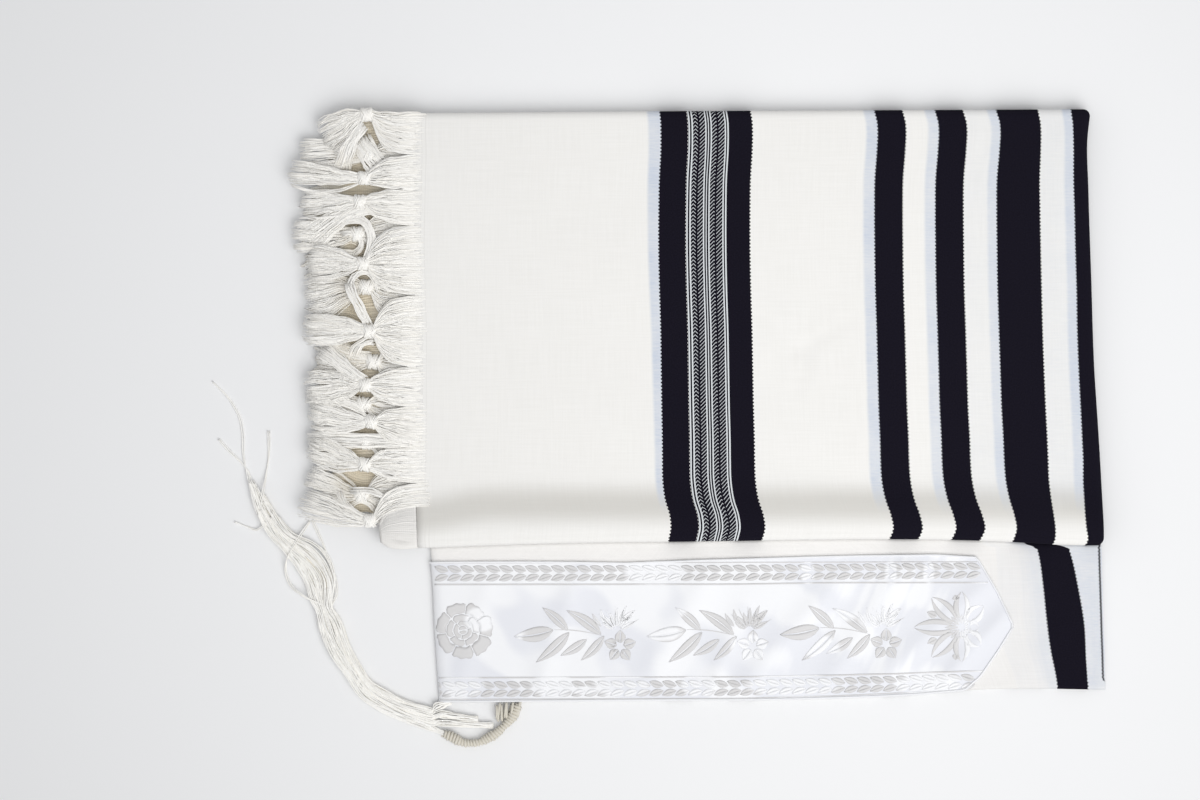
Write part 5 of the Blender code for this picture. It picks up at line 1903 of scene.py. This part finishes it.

# %% [markdown]
# ## The inside of the hank
#
# The deeper strings hardly show, so one ribbed sheet along the middle line stands for them.

# %% The inside of the hank
# The sheet stands for the deeper strings; its yellower colour is painted shade for the gaps
# between them
hidden_yarn = yarn_finish(
    "tassel_inside", (0.98, 0.945, 0.87, 1), (0.94, 0.895, 0.80, 1), PLY_PITCH / 2
)
INSIDE_FROM, INSIDE_TO, INSIDE_ROWS = 0.02, 0.93, 110
INSIDE_LEVEL, RIB_HEIGHT = 2.5, 0.35
shares = np.linspace(INSIDE_FROM, INSIDE_TO, INSIDE_ROWS)
place, way, pitch = trunk(shares)
across = np.arange(-0.5, LANES - 0.49, 0.125) - (LANES - 1) / 2
aside = across * pitch[:, None] * 0.92
ribs = RIB_HEIGHT * np.cos(np.arange(len(across)) * pi / 2)
height = INSIDE_LEVEL + ribs + 0.3 * np.sin(shares[:, None] * 40 + across * 2)
plan = place[:, None] + leftward(way)[:, None] * aside[..., None]
points = np.concatenate([plan, height[..., None]], axis=-1)
uv = np.stack(np.broadcast_arrays(shares[:, None] * 400, aside), axis=-1)
inside = new_sheet("strings_inside", points, uv, hidden_yarn, wall=0.8)
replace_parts(inside, "tzitzit_2")

# %% [markdown]
# ## The wound cord
#
# The first part of one tassel shows in front of the neck edge.  One of its strings is wound round
# the rest in groups of turns between double knots.  The winding is a helix about the cord's own
# path, and the knots are where its radius grows.

# %% The wound cord's path
WoundRow = namedtuple("WoundRow", "x y radius")
WOUND_CORD = rows_of(WoundRow, [
    (-106, -208.9, 3), (-109, -215, 4), (-116, -223.5, 3), (-126, -231.5, 4), (-136, -236, 3),
    (-146, -236.5, 3.2), (-155, -232.5, 4.2), (-162, -229.2, 3.2),
])
WOUND_Z = 4.6
WOUND_TURNS, TURN_STATIONS = 30, 14


def wound_cord(turns, stations):
    """Path, outward direction and radius of a string wound round the cord."""
    shares = np.linspace(0, 1, stations)
    (x, y, radius), way = followed(WOUND_CORD, shares)
    angle = tau * turns * shares
    angle = angle + 0.5 * np.sin(angle / 5)
    middle = np.stack([x, y, WOUND_Z + 0 * x], axis=-1)
    at = length_along(np.array(WOUND_CORD, float)[:, :2])[-1] * shares
    uneven = 1 + 0.07 * np.sin(at * 0.9) + 0.05 * np.sin(at * 2.3)
    side = leftward(np.column_stack([way, 0 * x]))
    return middle, ring_of(side, angle), radius * uneven


middle, out, radius = wound_cord(WOUND_TURNS, WOUND_TURNS * TURN_STATIONS)
print("the wound part runs over", len(WOUND_CORD), "places")

# %% [markdown]
# ## Winding, core and coil
#
# The winding is a tube along the helix, and one plain core stands for the strings inside it.  The
# clump at the neck edge is the same string in wide, uneven coils.

# %% Winding, core and coil
WOUND_STRING = 1.0
CLUMP_FROM, CLUMP_TO = np.array([-123.0, -214.0]), np.array([-103.5, -210.5])
CLUMP_TURNS, CLUMP_STATIONS = 9, 18
COIL_WIDE, COIL_HIGH, COIL_LEVEL = 5.2, 2.7, 3.9

wound_yarn = yarn_finish(
    "wound_yarn", (0.745, 0.712, 0.635, 1), (0.635, 0.600, 0.520, 1), PLY_PITCH / 2
)
winding_path = middle + out * (radius - 0.9)[:, None]
wrapped = tubes("wound_string", winding_path[None], WOUND_STRING, 6, wound_yarn,
                np.array([0.6]), up=out[None])
core_radius = radius[::TURN_STATIONS] - WOUND_STRING
core = tubes("cord_core", middle[None, ::TURN_STATIONS], core_radius[None], 8, wound_yarn,
             np.array([0.1]))
t = np.linspace(0, 1, CLUMP_TURNS * CLUMP_STATIONS)
angle = tau * CLUMP_TURNS * t
coil_y = (COIL_WIDE + 0.9 * np.sin(7 * t)) * np.cos(angle) + 1.1 * np.sin(angle * 0.37)
coil_z = COIL_LEVEL + (COIL_HIGH + 0.3 * np.sin(5 * t)) * np.sin(angle)
coil_x = 0.9 * np.sin(angle * 0.43) + 0.7 * np.cos(angle)
coil_middle = CLUMP_FROM + (CLUMP_TO - CLUMP_FROM) * t[:, None]
coil = np.column_stack([coil_middle[:, 0] + coil_x, coil_middle[:, 1] + coil_y, coil_z])
outward = np.column_stack([0 * t, np.cos(angle), np.sin(angle)])
clump = tubes("coiled_string", coil[None], WOUND_STRING, 6, wound_yarn,
              np.array([0.5]), up=outward[None])
for piece in (wrapped, core, clump):
    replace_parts(piece, "tzitzit_4")

# %% [markdown]
# ## The table
#
# The shawl lies on a smooth pale table, which is no part of it and only put on the stage.

# %% The table
TABLE_HALF = 4.0
table_mesh = bpy.data.meshes.new("table_top")
table_mesh.from_pydata(
    [(x * TABLE_HALF, y * TABLE_HALF, 0) for x, y in [(-1, -1), (1, -1), (1, 1), (-1, 1)]],
    [], [(0, 1, 2, 3)],
)
table_top = bpy.data.objects.new("table_top", table_mesh)
bpy.context.scene.collection.objects.link(table_top)
plain = bpy.data.materials.new("pale_table")
plain.use_nodes = True
table_shader = plain.node_tree.nodes["Principled BSDF"]
table_shader.inputs["Base Color"].default_value = (0.87, 0.875, 0.885, 1)
table_shader.inputs["Roughness"].default_value = 0.8
table_shader.inputs["Specular IOR Level"].default_value = 0.1
table_mesh.materials.append(plain)
print("table:", 2 * TABLE_HALF, "m wide")

# %% [markdown]
# ## Light
#
# One broad soft light stands low at the lower right, so that folds shade up and to the left.
# Each lamp is a spot with a large soft face, like a window, and the surroundings fill the rest.

# %% Light
LAMP_EDGE = 1.0
SURROUNDINGS, SURROUNDINGS_STRENGTH = (0.985, 0.99, 1.0, 1), 0.47
scene = bpy.context.scene
scene.view_settings.view_transform = "Standard"
world = bpy.data.worlds.new("surroundings")
world.use_nodes = True
world.node_tree.nodes["Background"].inputs["Color"].default_value = SURROUNDINGS
world.node_tree.nodes["Background"].inputs["Strength"].default_value = SURROUNDINGS_STRENGTH
scene.world = world
Lamp = namedtuple("Lamp", "name x y z radius power spread colour")
LAMPS = rows_of(Lamp, [
    ("window", 0.90, -0.90, 1.80, 1.1, 135.0, 70, (1.0, 0.995, 0.985)),
    ("overhead", 0.25, -0.35, 2.30, 1.0, 88.0, 60, (1.0, 1.0, 1.0)),
])
AIM = Vector((0.15, 0.06, 0.0))
for row in LAMPS:
    light = bpy.data.lights.new(row.name, "SPOT")
    light.energy, light.color, light.shadow_soft_size = row.power, row.colour, row.radius
    light.spot_size, light.spot_blend = np.radians(row.spread), LAMP_EDGE
    lamp = bpy.data.objects.new(row.name, light)
    lamp.location = (row.x, row.y, row.z)
    lamp.rotation_mode = "QUATERNION"
    lamp.rotation_quaternion = (AIM - lamp.location).to_track_quat("-Z", "Y")
    scene.collection.objects.link(lamp)
    print(row.name, row.power, "W")

# %% [markdown]
# ## Camera
#
# A long lens from high above shows a flat object without leaning sides.  Its focal length follows
# from the width that it has to see at the height of the cloth.

# %% Camera
VIEW_WIDTH = 0.900
VIEW_MIDDLE = (-0.0444, 0.0214)
VIEW_HEIGHT = 3.0
FOCUS_LEVEL = 0.012
SENSOR = 36.0
camera = bpy.data.objects.new("camera", bpy.data.cameras.new("camera"))
camera.data.sensor_width = SENSOR
camera.data.lens = SENSOR * (VIEW_HEIGHT - FOCUS_LEVEL) / VIEW_WIDTH
camera.location = (*VIEW_MIDDLE, VIEW_HEIGHT)
scene.collection.objects.link(camera)
scene.camera = camera
print("lens", round(camera.data.lens, 1), "mm")

# %% [markdown]
